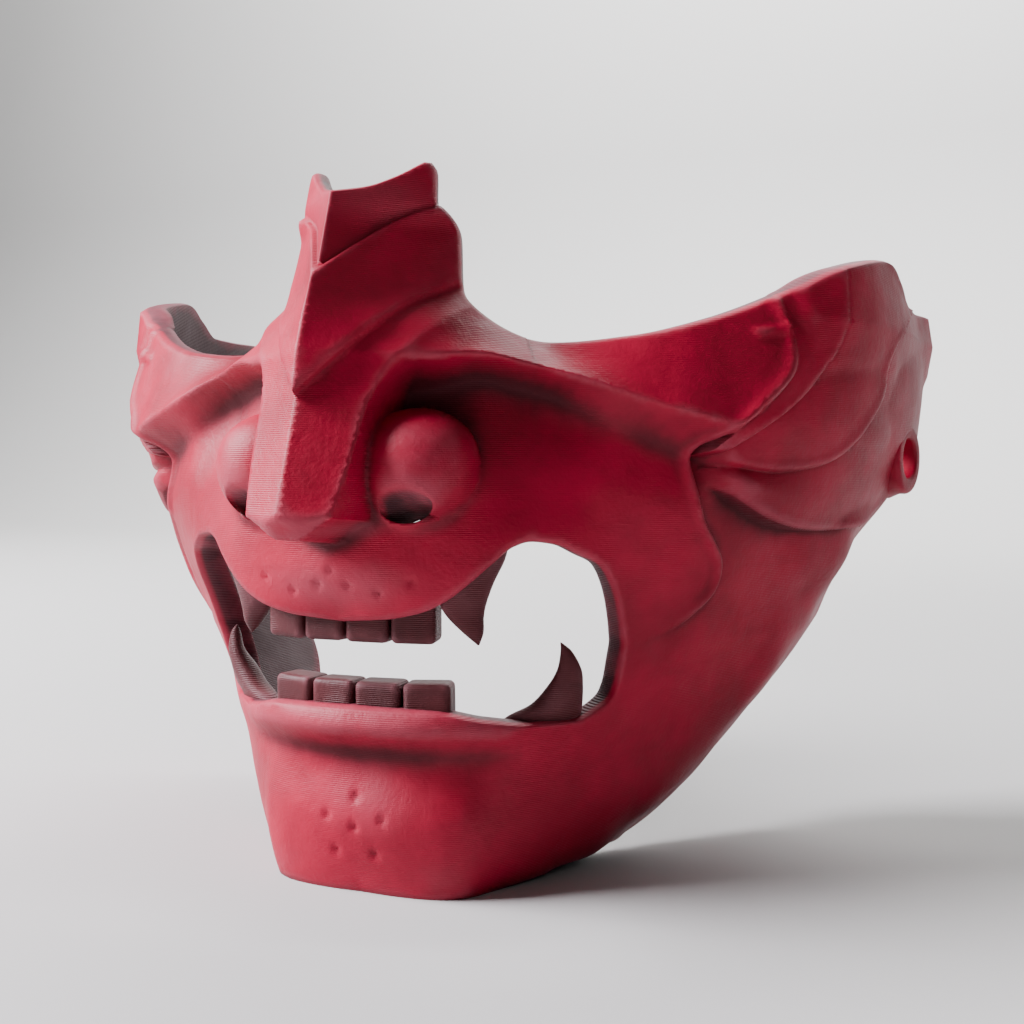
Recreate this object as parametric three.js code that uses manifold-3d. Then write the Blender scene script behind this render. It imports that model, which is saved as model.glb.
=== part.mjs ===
// Samurai face guard (half mask with a fierce mouth), worn over the nose, cheeks and jaw.
//
// The whole mask is drawn about one upright axis that runs through the wearer's head:
//   phi     angle round that axis in degrees, 0 at the nose and growing towards the right ear
//   z       height above the surface that the mask stands on
//   radius  distance from the axis
// The left half mirrors the right. Lengths are millimetres, +Z is up and the nose points to -Y.

import * as THREE from 'three';
import { mergeVertices } from 'three/addons/utils/BufferGeometryUtils.js';
import Module from 'manifold-3d';

const wasm = await Module();
wasm.setup();

// ---------------------------------------------------------------- driving dimensions

const WALL = 3.5; // thickness of the printed wall
const RIM_WALL = 5.2; // the wall is thicker round the mouth
const GAP = 0.3; // clearance between neighbouring pieces
const SEAT = 0.6; // clearance of a faceted plate that lies on the faceted shell
const FOOT_ROUND = 2.4; // softness of the corner between chin and foot
const FOOT_FLAT = 0.45; // what lies lower than this under the chin is flat on the ground
const CORNER_SPREAD = 9; // length over which the inner corner above the foot is mitred

const NOSE_TIP = { z: 63, radius: 75.6 };
const NOSE_RAKE = 0.325; // how fast the ridge falls back per mm of height
const NOSE_WALL_SLOPE = 7.5; // how steeply the nose's side walls drop beyond the flanks
const NOSE_UNDERSIDE = { z: 59.2, innerRadius: 61, lipRadius: 72.6, slope: 11, chamfer: 0.8, sideLift: 3.4 };
const NOSTRIL = { phi: 13.2, z: 69.8, coreRadius: 54.6, swell: 11.6, halfWidth: 9.8, halfHeight: 9.6 };
const NOSTRIL_HOLE = { x: 13.6, z: 64.4, halfWidth: 4.6, halfHeight: 2.8, tilt: 0.2 };

const BAND_RISE = 1.3; // how far the bridge band stands proud
const BOSS = { x: 81.4, y: 25, z: 72, turn: 14, radius: 7, holeRadius: 3.3, length: 8, edge: 0.8 };

const RED = new THREE.Color(0xad1b30);
const MAROON = new THREE.Color(0x552e2f);

// ---------------------------------------------------------------- curves

const radians = THREE.MathUtils.degToRad;
const clamp = THREE.MathUtils.clamp;
const lerp = THREE.MathUtils.lerp;
const smoothstep = THREE.MathUtils.smoothstep;

/** A smooth curve through [x, y] knots that never overshoots them (monotone cubic). */
function curveThrough(knots) {
  const last = knots.length - 1;
  const steps = knots.slice(1).map((knot, i) => (knot[1] - knots[i][1]) / (knot[0] - knots[i][0]));
  const slopes = knots.map((knot, i) => {
    if (i === 0) return steps[0];
    if (i === last) return steps[last - 1];
    if (steps[i - 1] * steps[i] <= 0) return 0;
    return (2 * steps[i - 1] * steps[i]) / (steps[i - 1] + steps[i]);
  });
  return (x) => {
    if (x <= knots[0][0]) return knots[0][1];
    if (x >= knots[last][0]) return knots[last][1];
    const i = knots.findIndex((knot, k) => k < last && x <= knots[k + 1][0]);
    const width = knots[i + 1][0] - knots[i][0];
    const u = (x - knots[i][0]) / width;
    const a = knots[i][1] * (1 + 2 * u) * (1 - u) ** 2 + knots[i + 1][1] * u * u * (3 - 2 * u);
    return a + width * u * (1 - u) * (slopes[i] * (1 - u) - slopes[i + 1] * u);
  };
}

/** A rail is a line on the face, from [phi, z, radius] knots. */
function rail(knots) {
  const height = curveThrough(knots.map(([phi, z]) => [phi, z]));
  const radius = curveThrough(knots.map(([phi, , r]) => [phi, r]));
  return (phi) => ({ z: height(phi), radius: radius(phi) });
}

/** The larger of two values, with the corner between them softened over a width. */
function softMax(a, b, width) {
  return (a + b + Math.hypot(a - b, width)) / 2;
}

// ---------------------------------------------------------------- the face, as rails from top to chin

const BROW_TOP = rail([
  [0, 118, 42], [18, 101, 44.6], [22, 96, 46], [27, 93, 47], [35, 90.5, 47.8], [40, 90, 51.6],
  [47, 90.6, 55.3], [56, 92.8, 59.3], [65, 96, 63.6], [74, 101, 68.6], [80, 105, 73.2],
  [93, 108, 77.4], [109, 102, 85], [117, 102, 93],
]);
const BROW_CREST = rail([
  [0, 88, 58], [15, 87.2, 58.4], [22, 88, 56.2], [30, 86.6, 55.8], [38.4, 84.4, 58], [49, 80.6, 62.4],
  [55, 78.6, 65.6], [60, 77.4, 67.6], [66, 83, 69.4], [76, 88, 73.2], [86, 89, 77.3], [93, 89, 80],
  [100, 89, 82.8], [107, 89, 86.8], [117, 89, 95],
]);

const FACE_RAILS = [
  BROW_CREST,
  // the fold under the brow, deepest at the notch
  rail([[0, 81, 54], [14, 82, 51.8], [23, 83.3, 51.2], [30, 82, 50.9], [36, 80.6, 52.2], [41, 78, 54.4],
    [46, 75.3, 56.8], [52, 72.9, 58.2], [57.5, 71, 60], [62, 72.6, 66], [67.5, 77, 70], [76, 78, 72.4],
    [84, 78, 76.4], [90, 78, 79.3], [96, 78, 82], [107, 78, 86], [117, 78, 93.6]]),
  // cheek
  rail([[0, 66, 60], [15, 66, 60], [27, 66, 57.5], [35, 66, 57], [44, 66, 58.2], [52, 65, 59.4],
    [60, 64, 61.2], [66, 66, 62.8], [72, 66, 64], [81, 66, 66.5], [90, 66, 71], [100, 66, 76.6],
    [108, 66, 81.4], [117, 66, 89]]),
  // nose base and top of the open mouth
  rail([[0, 56, 61], [10, 56, 60.3], [20, 55, 59.8], [30, 58.5, 58.6], [38, 57.5, 58.2], [46, 56, 57.4],
    [54, 55, 57.8], [60, 54.5, 58.8], [66, 54, 59.6], [72, 54, 60.8], [80, 54, 63], [90, 54, 68.4],
    [98, 54, 73.1], [104, 54, 74], [110, 54, 75.4], [116, 54, 78]]),
  // upper lip
  rail([[0, 46.5, 57.6], [10, 46.8, 58.6], [17, 48, 59.2], [25, 47, 58], [35, 47, 56.5], [44, 47, 55],
    [50, 46, 53.9], [54, 46, 54.3], [58, 46, 55.1], [62, 46, 55.9], [66, 46, 56.6], [72, 46, 57.6],
    [80, 46, 59.8], [90, 46, 64.2], [97, 46, 68], [104, 46, 69.3], [110, 46, 71.1], [116, 46, 73.8]]),
  // corner of the mouth
  rail([[0, 33, 54.4], [15, 33, 54.4], [25, 33, 53], [35, 33, 51.5], [44, 33, 50.4], [51, 33, 49.8],
    [58, 33, 50], [66, 33, 50.8], [74, 33, 52.4], [82, 33, 55.2], [90, 33.5, 59.6], [97, 34, 60.6],
    [104, 34, 61.8], [116, 34, 65.8]]),
  // lower lip
  rail([[0, 28.6, 56.2], [10, 28.6, 56], [19, 28.5, 54.8], [27, 27.6, 52.6], [34, 27, 50.6],
    [42, 26.5, 49.4], [50, 27.5, 48.7], [58, 28, 48.3], [66, 28, 49], [74, 28, 50.8], [82, 28, 53.6],
    [88, 28, 56], [94, 28, 56.4], [100, 28, 56.9], [108, 28, 58.5], [116, 28, 61.3]]),
  // hollow under the lip
  rail([[0, 22.5, 51.2], [15, 22.5, 51.8], [25, 22.5, 50.6], [35, 22, 49.2], [45, 21.5, 47.6],
    [55, 21.5, 46.8], [65, 22, 47.3], [75, 22, 49.4], [84, 22.3, 51.6], [92, 22.5, 51.9],
    [100, 22.5, 52.3], [108, 22.5, 54], [116, 22.5, 56.8]]),
  // chin
  rail([[0, 12, 53.4], [15, 12, 53.8], [19.5, 12, 53.4], [25, 12.5, 51.2], [30, 13, 49.6], [40, 13, 47],
    [50, 13, 45.5], [60, 13, 45.3], [68, 13, 46], [76, 13, 45.8], [84, 13, 45.1], [92, 13, 44.7],
    [100, 13.5, 45.5], [110, 14, 48]]),
  // lower edge of the jaw
  rail([[0, 0, 51.8], [15, 0, 52.8], [19, 0, 52.2], [27, 0.5, 47.8], [36, 1, 44.8], [42, 1.5, 43],
    [53, 2, 41], [62, 2.4, 38.4], [70, 3, 36.8], [80, 6, 39], [90, 10, 42], [101, 16, 47.7],
    [112, 22, 54.8]]),
];
const JAW_EDGE = FACE_RAILS[FACE_RAILS.length - 1];

/** Radius of the plain face, before the nose and nostrils are laid over it. */
function faceRadius(phi, z) {
  const crest = BROW_CREST(phi);
  if (z >= crest.z) {
    const top = BROW_TOP(phi);
    return crest.radius + ((z - crest.z) * (top.radius - crest.radius)) / (top.z - crest.z);
  }
  const knots = FACE_RAILS.map((line) => line(phi)).reverse();
  return curveThrough(knots.map((knot) => [knot.z, knot.radius]))(z);
}

// ---------------------------------------------------------------- nose

/** The nose and bridge: two flat flanks meeting in a ridge, cut off below by the underside. */
const NOSE_SPREAD = curveThrough([
  [62, 0.42], [75, 0.5], [83, 0.58], [92, 0.92], [100, 1.3], [108, 1.3],
  [113.5, 1], [119, 0.98],
]);
const NOSE_HALF_WIDTH = curveThrough([
  [58.5, 5], [60, 6], [62.5, 7.1], [72, 8.6], [79, 9.2], [85, 11], [94, 16], [100, 20], [119, 30],
]);

function noseRadius(phi, z) {
  const angle = radians(phi);
  const ridge = NOSE_TIP.radius - NOSE_RAKE * (z - NOSE_TIP.z);
  const flank = ridge / (Math.cos(angle) + NOSE_SPREAD(z) * Math.sin(angle));
  const sideways = flank * Math.sin(angle) - NOSE_HALF_WIDTH(z);
  const slope = lerp(NOSE_WALL_SLOPE, 1, smoothstep(z, 80, 88));
  const flankRadius = flank - slope * Math.max(0, sideways);
  const under = NOSE_UNDERSIDE;
  const across = flank * Math.sin(angle);
  const rise = z - under.z - under.sideLift * smoothstep(across, 1.5, 8);
  const lip = Math.min(
    under.innerRadius + (rise + 0.9) * under.slope,
    under.lipRadius + rise * under.chamfer,
  );
  return Math.min(flankRadius, lip);
}

/** The bulb of the nostril, a rounded bump beside the nose. */
function nostrilRadius(phi, z, surface) {
  const across = (radians(phi - NOSTRIL.phi) * surface) / NOSTRIL.halfWidth;
  const along = (z - NOSTRIL.z) / NOSTRIL.halfHeight;
  const bulb = Math.max(0, 1 - across * across - along * along);
  return bulb > 0 ? NOSTRIL.coreRadius + NOSTRIL.swell * Math.sqrt(bulb) : 0;
}

// ---------------------------------------------------------------- raised cheek panel

/** Edge of the raised cheek panel, from the brow round the notch to the corner of the mouth. */
const PANEL_EDGE = [
  [69.6, 106], [71, 97], [71, 91], [69.8, 86], [65, 80], [60, 75.6], [57.7, 73.4], [57.5, 70.8],
  [59.4, 63], [62.6, 58.5], [65.2, 55.2], [66.2, 52], [65.8, 48.6], [63.4, 45.8], [60, 43.6], [52, 40.8],
];
/** Depth of the step behind the panel's edge, by height. */
const PANEL_STEP = curveThrough([[40, 0], [46, 1], [64, 1.5], [71, 3.2], [78, 5], [90, 3.8], [100, 2.4]]);
const DEGREE_LENGTH = 1.1; // mm that one degree spans on the cheek
const STEP_WIDTH = 1.6;

/** Signed distance outside the cheek panel's edge, in mm. */
function outsidePanel(phi, z) {
  let nearest = Infinity;
  let side = 0;
  for (let i = 0; i + 1 < PANEL_EDGE.length; i += 1) {
    const [phiA, zA] = PANEL_EDGE[i];
    const [phiB, zB] = PANEL_EDGE[i + 1];
    const ax = (phiB - phiA) * DEGREE_LENGTH;
    const ay = zB - zA;
    const px = (phi - phiA) * DEGREE_LENGTH;
    const py = z - zA;
    const along = clamp((px * ax + py * ay) / (ax * ax + ay * ay), 0, 1);
    const distance = Math.hypot(px - along * ax, py - along * ay);
    if (distance < nearest - 1e-6) {
      nearest = distance;
      side = ax * py - ay * px;
    }
  }
  return side > 0 ? nearest : -nearest;
}

/** Outer radius of the mask's shell. */
function shellRadius(phi, z) {
  let radius = faceRadius(phi, z);
  if (phi > 45) {
    const outside = smoothstep(outsidePanel(phi, z), 0, STEP_WIDTH);
    radius -= PANEL_STEP(z) * outside;
  }
  if (phi < 32) {
    // the wing is crisp below and melts into the cheek above; the nose melts into the brow
    radius = softMax(radius, nostrilRadius(phi, z, radius), 1.8 + 3.2 * smoothstep(z, 69, 77));
    const blend = 4.6 * smoothstep(z, 80, 88) * (1 - 0.5 * smoothstep(z, 92, 99));
    radius = softMax(radius, noseRadius(phi, z), 0.8 + blend);
  }
  return radius;
}

// ---------------------------------------------------------------- from (phi, height) to a point

/** A point at a radius, an angle and a height, mirrored for the left half by side = -1. */
function place(radius, phi, z, side = 1) {
  const angle = radians(phi);
  return [side * radius * Math.sin(angle), -radius * Math.cos(angle), z];
}

/**
 * The shell's surface continues below the chin: height falls to the jaw's edge, and from there
 * on the surface runs inward, so a negative height is a distance under the chin. Further back
 * the jaw ends in a plain edge and height is the height.
 */
function shellPoint(phi, height, depth) {
  const edge = JAW_EDGE(phi);
  const footing = 1 - smoothstep(phi, 58, 74);
  const above = height - edge.z;
  const rise = (above + Math.hypot(above, FOOT_ROUND)) / 2;
  const inward = (rise - above) * footing;
  const drop = edge.z / (1 + (inward / 7) ** 2);
  const corner = 0.5 * FOOT_ROUND * Math.exp(-Math.abs(above) / FOOT_ROUND);
  const low = drop + rise - corner;
  const flattened = Math.max(low - FOOT_FLAT * (1 - smoothstep(low, FOOT_FLAT, 4 * FOOT_FLAT)), 0);
  const z = lerp(height, flattened, footing);
  const level = Math.max(z, edge.z);
  if (depth === 0) return { radius: shellRadius(phi, level) - inward, z };
  const sideways = clamp(1 - inward / CORNER_SPREAD, 0, 1);
  const upwards = footing * clamp(1 - rise / CORNER_SPREAD, 0, 1);
  const wall = shellRadius(phi, level) - insetRadius(phi, Math.max(level, edge.z + 2), depth);
  return { radius: shellRadius(phi, level) - inward - wall * sideways, z: z + depth * upwards };
}

/** Radius of the inner wall: the outer surface moved in by a ball of the wall's thickness. */
function insetRadius(phi, z, depth) {
  let radius = Infinity;
  for (let i = -2; i <= 2; i += 1) {
    for (let j = -2; j <= 2; j += 1) {
      const across = (i / 2.9) * depth;
      const along = (j / 2.9) * depth;
      const sideways = phi + across / DEGREE_LENGTH;
      const thickness = Math.sqrt(depth * depth - across * across - along * along);
      radius = Math.min(radius, shellRadius(Math.abs(sideways), z + along) - thickness);
    }
  }
  return radius;
}

// ---------------------------------------------------------------- closed meshes

/** A solid from points and quads or triangles, as a manifold. */
function solidFrom(points, faces) {
  const geometry = new THREE.BufferGeometry();
  geometry.setAttribute('position', new THREE.Float32BufferAttribute(points.flat(), 3));
  const distance = (a, b) => Math.hypot(...points[a].map((value, axis) => value - points[b][axis]));
  geometry.setIndex(faces.flatMap((face) => {
    const [a, b, c, d] = face;
    if (face.length === 3) return face;
    return distance(a, c) <= distance(b, d) ? [a, b, c, a, c, d] : [a, b, d, b, c, d];
  }));
  return manifoldOf(geometry);
}

function manifoldOf(geometry) {
  const bare = geometry.clone();
  bare.deleteAttribute('normal');
  bare.deleteAttribute('uv');
  const merged = mergeVertices(bare, 1e-4);
  const mesh = new wasm.Mesh({
    numProp: 3,
    vertProperties: new Float32Array(merged.attributes.position.array),
    triVerts: new Uint32Array(merged.index.array),
  });
  mesh.merge();
  return new wasm.Manifold(mesh);
}

function geometryOf(solid) {
  const mesh = solid.getMesh();
  const geometry = new THREE.BufferGeometry();
  geometry.setAttribute('position', new THREE.BufferAttribute(mesh.vertProperties, 3));
  geometry.setIndex(new THREE.BufferAttribute(mesh.triVerts, 1));
  geometry.computeVertexNormals();
  return geometry;
}

/**
 * A closed sheet with a front and a back grid of points, joined along all four borders.
 * Each grid is a list of rows, and front(i, j) looks along -normal at rows and columns.
 */
function sheetSolid(front, back, rowLoops = false) {
  const rows = front.length;
  const columns = front[0].length;
  const points = [...front.flat(), ...back.flat()];
  const at = (layer, i, j) => layer * rows * columns + (i % rows) * columns + j;
  const faces = [];
  const lastRow = rowLoops ? rows : rows - 1;
  for (let i = 0; i < lastRow; i += 1) {
    for (let j = 0; j + 1 < columns; j += 1) {
      faces.push([at(0, i, j), at(0, i + 1, j), at(0, i + 1, j + 1), at(0, i, j + 1)]);
      faces.push([at(1, i, j), at(1, i, j + 1), at(1, i + 1, j + 1), at(1, i + 1, j)]);
    }
    const end = columns - 1;
    faces.push([at(0, i, 0), at(1, i, 0), at(1, i + 1, 0), at(0, i + 1, 0)]);
    faces.push([at(0, i, end), at(0, i + 1, end), at(1, i + 1, end), at(1, i, end)]);
  }
  if (!rowLoops) {
    const end = rows - 1;
    for (let j = 0; j + 1 < columns; j += 1) {
      faces.push([at(0, 0, j), at(0, 0, j + 1), at(1, 0, j + 1), at(1, 0, j)]);
      faces.push([at(0, end, j), at(1, end, j), at(1, end, j + 1), at(0, end, j + 1)]);
    }
  }
  return solidFrom(points, faces);
}

// ---------------------------------------------------------------- the shell

/**
 * Stations round the mouth, from the middle of the upper lip past the ear to the middle of the
 * chin. Each one crosses the wall in five marks: the mouth's edge, three guides that follow the
 * nose, the fold and the panel, and the outer edge. A mark is [phi, height].
 */
const STATIONS = [
  { cells: 4, marks: [[0, 46], [0, 57.6], [0, 59.6], [0, 63.2], [0, 81], [0, 113]] },
  { cells: 1, marks: [[9, 46.8], [9, 57.4], [8.5, 59.6], [6.2, 63.2], [8.4, 83], [12.6, 119.3]] },
  { cells: 1, marks: [[11, 47.2], [11, 57], [10.4, 60], [9, 64], [11, 85], [13.7, 117.6]] },
  { cells: 1, marks: [[14, 48], [14, 57.5], [13, 61], [12.5, 67], [13.5, 87], [16.2, 110]] },
  { cells: 2, marks: [[17.3, 49.6], [17.5, 58], [17, 63], [16.5, 71], [17, 87.8], [19, 99]] },
  { cells: 2, marks: [[20.9, 52.3], [22, 60], [22, 66], [22, 76], [23, 88], [25, 93.6]] },
  { cells: 2, marks: [[24.5, 55.4], [26, 63], [27, 72], [28.5, 82.4], [29.5, 86.7], [32.5, 90.8]] },
  { cells: 2, marks: [[28, 58.2], [31, 66], [33, 73], [35.2, 80.8], [37, 84.8], [40, 90]] },
  { cells: 3, marks: [[31, 59], [37, 66], [40, 71], [43.5, 76.6], [46, 81.8], [50, 91]] },
  { cells: 3, marks: [[35, 58.5], [44, 66], [48, 69.5], [52.4, 72.8], [56, 78.4], [62, 94.2]] },
  { cells: 2, marks: [[39, 56.8], [50, 64.5], [54, 67.6], [57.4, 71.2], [60.6, 77], [72.5, 99]] },
  { cells: 2, marks: [[42.7, 55.1], [53, 61.5], [58, 64.8], [60.6, 65], [70, 76], [79.7, 103.6]] },
  { cells: 3, marks: [[46.6, 50.2], [55, 57], [61.4, 59.2], [63.4, 58.6], [80, 70], [92.8, 107]] },
  { cells: 2, marks: [[48.3, 47], [56.5, 52], [65, 54], [67.3, 53.6], [88, 69], [103, 100.8]] },
  { cells: 2, marks: [[50, 43], [56, 46.5], [64.4, 47], [66.8, 46], [93, 64], [115.4, 101]] },
  { cells: 2, marks: [[50.9, 39.8], [54.5, 41], [59.5, 42.6], [63, 41.5], [90, 52], [115, 76]] },
  { cells: 2, marks: [[50.9, 35], [54.5, 35.5], [59, 36], [63, 36], [86, 42], [114.1, 60]] },
  { cells: 2, marks: [[50, 31.8], [53, 30], [57, 29], [61, 28.5], [82, 30], [113.6, 36]] },
  { cells: 2, marks: [[46.5, 29.6], [48.5, 26.5], [51.5, 24], [55, 22], [73, 17.5], [107.6, 21]] },
  { cells: 2, marks: [[41, 28], [42, 25.6], [44, 22], [46.5, 18], [60, 9], [90, 9.5]] },
  { cells: 2, marks: [[32.4, 28], [33, 25.6], [34, 21.5], [35, 16], [40, 4], [68, 2]] },
  { cells: 2, marks: [[24, 29], [24, 26], [24.5, 21.5], [25, 15], [27, 3], [44, -14]] },
  { cells: 3, marks: [[15, 30.6], [15, 26.4], [15, 21.5], [15, 14], [16, 1], [25, -28]] },
  { cells: 1, marks: [[0, 31], [0, 26.4], [0, 21.5], [0, 14], [0, 1], [0, -34]] },
];
const CELLS_BETWEEN_MARKS = [3, 1, 2, 3, 4];

/** The grid of [phi, height, depth] cells of the right half, row by row from the nose round to the chin. */
function shellGrid() {
  const indexed = (pick) => curveThrough(STATIONS.map((station, i) => [i, pick(station)]));
  const lines = STATIONS[0].marks.map((mark, m) => ({
    phi: indexed((station) => station.marks[m][0]),
    height: indexed((station) => station.marks[m][1]),
  }));
  const grid = [];
  STATIONS.forEach((station, s) => {
    const isLast = s === STATIONS.length - 1;
    for (let step = 0; step < (isLast ? 1 : station.cells); step += 1) {
      const position = s + step / station.cells;
      const row = [];
      CELLS_BETWEEN_MARKS.forEach((cells, m) => {
        for (let k = m === 0 ? 0 : 1; k <= cells; k += 1) {
          const phi = lerp(lines[m].phi(position), lines[m + 1].phi(position), k / cells);
          const height = lerp(lines[m].height(position), lines[m + 1].height(position), k / cells);
          const depth = lerp(RIM_WALL, WALL, clamp((m + k / cells) / 1.5, 0, 1));
          row.push({ phi, height, depth });
        }
      });
      grid.push(row);
    }
  });
  return grid;
}

/** The whole shell; a grown one is larger all round and cuts its neighbours clear of it. */
function buildShell(grow = 0) {
  const half = shellGrid();
  const toPoints = (side, inner) => half.map((row) => {
    const points = row.map(({ phi, height, depth }) => {
      const { radius, z } = shellPoint(phi, height, inner ? depth : 0);
      return new THREE.Vector3(...place(radius + (inner ? -grow : grow), phi, z, side));
    });
    const outward = points[0].clone().sub(points[1]).setLength(grow || 1);
    if (grow > 0) points[0].add(outward);
    return points.map((point) => point.toArray());
  });
  const loop = (inner) => [
    ...toPoints(1, inner),
    ...toPoints(-1, inner).slice(1, -1).reverse(),
  ];
  return sheetSolid(loop(false), loop(true), true);
}

/** A slanted oval prism through the wall, for one nostril. */
function nostrilCutter(side) {
  const hole = NOSTRIL_HOLE;
  const outline = new THREE.Shape();
  outline.absellipse(0, 0, hole.halfWidth, hole.halfHeight, 0, 2 * Math.PI, false, 0);
  const prism = new THREE.ExtrudeGeometry(outline, { depth: 30, bevelEnabled: false, curveSegments: 10 });
  prism.rotateZ(side * hole.tilt);
  prism.rotateX(Math.PI / 2);
  prism.translate(side * hole.x, -45, hole.z);
  return manifoldOf(prism);
}

/** Moves a piece built along +Z, with its outer end at the origin, to a strap boss. */
function moveToBoss(geometry, side) {
  geometry.rotateY(side * Math.PI / 2);
  geometry.rotateZ(-side * radians(BOSS.turn));
  geometry.translate(side * BOSS.x, BOSS.y, BOSS.z);
  return geometry;
}

/** A rod along the boss's axis, longer than the wall is thick. */
function bossCutter(side, radius) {
  const rod = new THREE.CylinderGeometry(radius, radius, 30, 40);
  rod.rotateX(Math.PI / 2);
  return manifoldOf(moveToBoss(rod, side));
}

// ---------------------------------------------------------------- leaves of the ear

/**
 * A leaf lies on the shell between two rails of [phi, z, radius] knots, listed from the top of
 * the ear down and round to the notch.
 */
const LEAF_LINES = {
  panel: [[72.6, 99.8, 68.6], [72.2, 92, 70], [71, 86, 69.8], [66.2, 79.4, 68.6], [61, 75, 66.6],
    [58.4, 71.6, 63]],
  front: [[79.8, 105, 73.2], [79.2, 92, 73], [76.5, 86.3, 71.9], [72.4, 81.4, 70.2], [66.5, 77, 68.4],
    [59.4, 71.4, 64]],
  middle: [[107.5, 101.2, 84.2], [95.5, 94, 79.6], [92, 82.5, 78], [84.5, 72.4, 72.6], [72.6, 69.4, 67],
    [60, 70.8, 63.6]],
  rear: [[115.5, 101.6, 92.4], [115.2, 76, 90], [104, 61.4, 77.4], [90, 58.8, 69.4], [74, 60.6, 65.2],
    [59.6, 67.6, 62.8]],
};
const LEAVES = [
  { name: 'front_leaf', inner: 'panel', outer: 'front', swell: 0.2 },
  { name: 'middle_leaf', inner: 'front', outer: 'middle', swell: 0.4 },
  { name: 'rear_leaf', inner: 'middle', outer: 'rear', swell: 0.7 },
];
const LEAF_ROWS = 16;
const LEAF_COLUMNS = 3;
const LEAF_STEP = 0.7; // each leaf steps down from the one in front
const LEAF_MIN_THICKNESS = 1.1;

function leafLine(knots) {
  const spline = new THREE.CatmullRomCurve3(knots.map(([phi, z, radius]) => new THREE.Vector3(phi, z, radius)));
  return (t) => spline.getPoint(t);
}

function buildLeaf({ inner, outer, swell }, side) {
  const innerLine = leafLine(LEAF_LINES[inner]);
  const outerLine = leafLine(LEAF_LINES[outer]);
  const front = [];
  const back = [];
  for (let i = 0; i <= LEAF_ROWS; i += 1) {
    const a = innerLine(i / LEAF_ROWS);
    const b = outerLine(i / LEAF_ROWS);
    const span = Math.hypot((b.x - a.x) * DEGREE_LENGTH, b.y - a.y);
    const margin = clamp((GAP * 0.6) / Math.max(span, 1), 0, 0.3);
    const frontRow = [];
    const backRow = [];
    for (let j = 0; j <= LEAF_COLUMNS; j += 1) {
      const s = lerp(margin, 1 - margin, j / LEAF_COLUMNS);
      const phi = lerp(a.x, b.x, s);
      const z = lerp(a.y, b.y, s);
      const skin = shellRadius(phi, z) + SEAT;
      const lifted = lerp(a.z - LEAF_STEP, b.z, s) + swell * 4 * s * (1 - s);
      frontRow.push(place(Math.max(lifted, skin + LEAF_MIN_THICKNESS), phi, z, side));
      backRow.push(place(skin, phi, z, side));
    }
    front.push(frontRow);
    back.push(backRow);
  }
  return side > 0 ? sheetSolid(front, back) : sheetSolid(back, front);
}

// ---------------------------------------------------------------- bridge band

/** The chevron band across the bridge: its lower and upper edges as [phi, z] from the middle out. */
const BAND_LOWER = curveThrough([[0, 81], [4, 86.8], [8, 92], [12, 96.2], [18.6, 99.8]]);
const BAND_UPPER = curveThrough([[0, 100.3], [4, 105.4], [8, 109.2], [12, 111.2], [15.8, 112.2]]);
const BAND_HALF_ANGLE = 18.2;
const BAND_ROWS = 6;
const BAND_COLUMNS = 5;

function buildBand() {
  const front = [];
  const back = [];
  for (let i = -BAND_ROWS; i <= BAND_ROWS; i += 1) {
    const phi = (Math.abs(i) / BAND_ROWS) * BAND_HALF_ANGLE;
    const side = i < 0 ? -1 : 1;
    const frontRow = [];
    const backRow = [];
    for (let j = 0; j <= BAND_COLUMNS; j += 1) {
      const z = lerp(BAND_LOWER(phi), BAND_UPPER(phi), j / BAND_COLUMNS);
      const skin = shellRadius(phi, z) + SEAT;
      frontRow.push(place(skin + BAND_RISE, phi, z, side));
      backRow.push(place(skin, phi, z, side));
    }
    front.push(frontRow);
    back.push(backRow);
  }
  return sheetSolid(front, back);
}

// ---------------------------------------------------------------- teeth

const UPPER_TEETH = { count: 4, pitch: 7.9, top: 49.4, bottom: 42.2, radius: 56.3, depth: 5.4, gap: 0.9 };
const LOWER_TEETH = { count: 4, pitch: 8.4, top: 35.4, bottom: 27.4, radius: 53.2, depth: 5.6, gap: 0.9 };
const TOOTH_BEVEL = 0.6;

/** One bevelled block tooth, standing with its front face at the row's radius. */
function buildTooth(row, index) {
  const width = row.pitch - row.gap - 2 * TOOTH_BEVEL;
  const height = row.top - row.bottom - 2 * TOOTH_BEVEL;
  const face = new THREE.Shape();
  face.moveTo(-width / 2, 0);
  face.lineTo(width / 2, 0);
  face.lineTo(width / 2, height);
  face.lineTo(-width / 2, height);
  const block = new THREE.ExtrudeGeometry(face, {
    depth: row.depth - 2 * TOOTH_BEVEL,
    bevelThickness: TOOTH_BEVEL,
    bevelSize: TOOTH_BEVEL,
    bevelSegments: 2,
  });
  block.translate(0, TOOTH_BEVEL, -row.depth + TOOTH_BEVEL);
  block.rotateX(Math.PI / 2);
  block.translate(0, -row.radius, row.bottom);
  const step = index - (row.count - 1) / 2;
  block.rotateZ((step * row.pitch) / row.radius);
  return block;
}

/** A fang flares along the lip at its root; its knots are [phi, z, radius, halfWidth, halfDepth]. */
const UPPER_FANG = [
  [23.4, 60, 56.6, 4.4, 2.2], [22.4, 56, 56.3, 4.6, 2.5], [20.9, 52, 55.8, 4.2, 2.6],
  [20.2, 48.7, 55.3, 3.7, 2.5], [20.6, 46.5, 55, 2.9, 2.2], [21.8, 44.1, 54.8, 1.7, 1.5],
];
const UPPER_FANG_TIP = [22.7, 42, 54.6];
const LOWER_FANG = [
  [35, 23.5, 46, 8, 2.2], [35.6, 28.4, 46.9, 6.8, 2.5], [38.2, 31, 48, 4.5, 2.5],
  [39.5, 34, 49.1, 3.1, 2.2], [39.8, 37, 50.4, 2.1, 1.4], [39.1, 40, 50.7, 1, 0.9],
];
const LOWER_FANG_TIP = [38, 41.6, 50.8];
const FANG_SIDES = 10;

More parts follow.
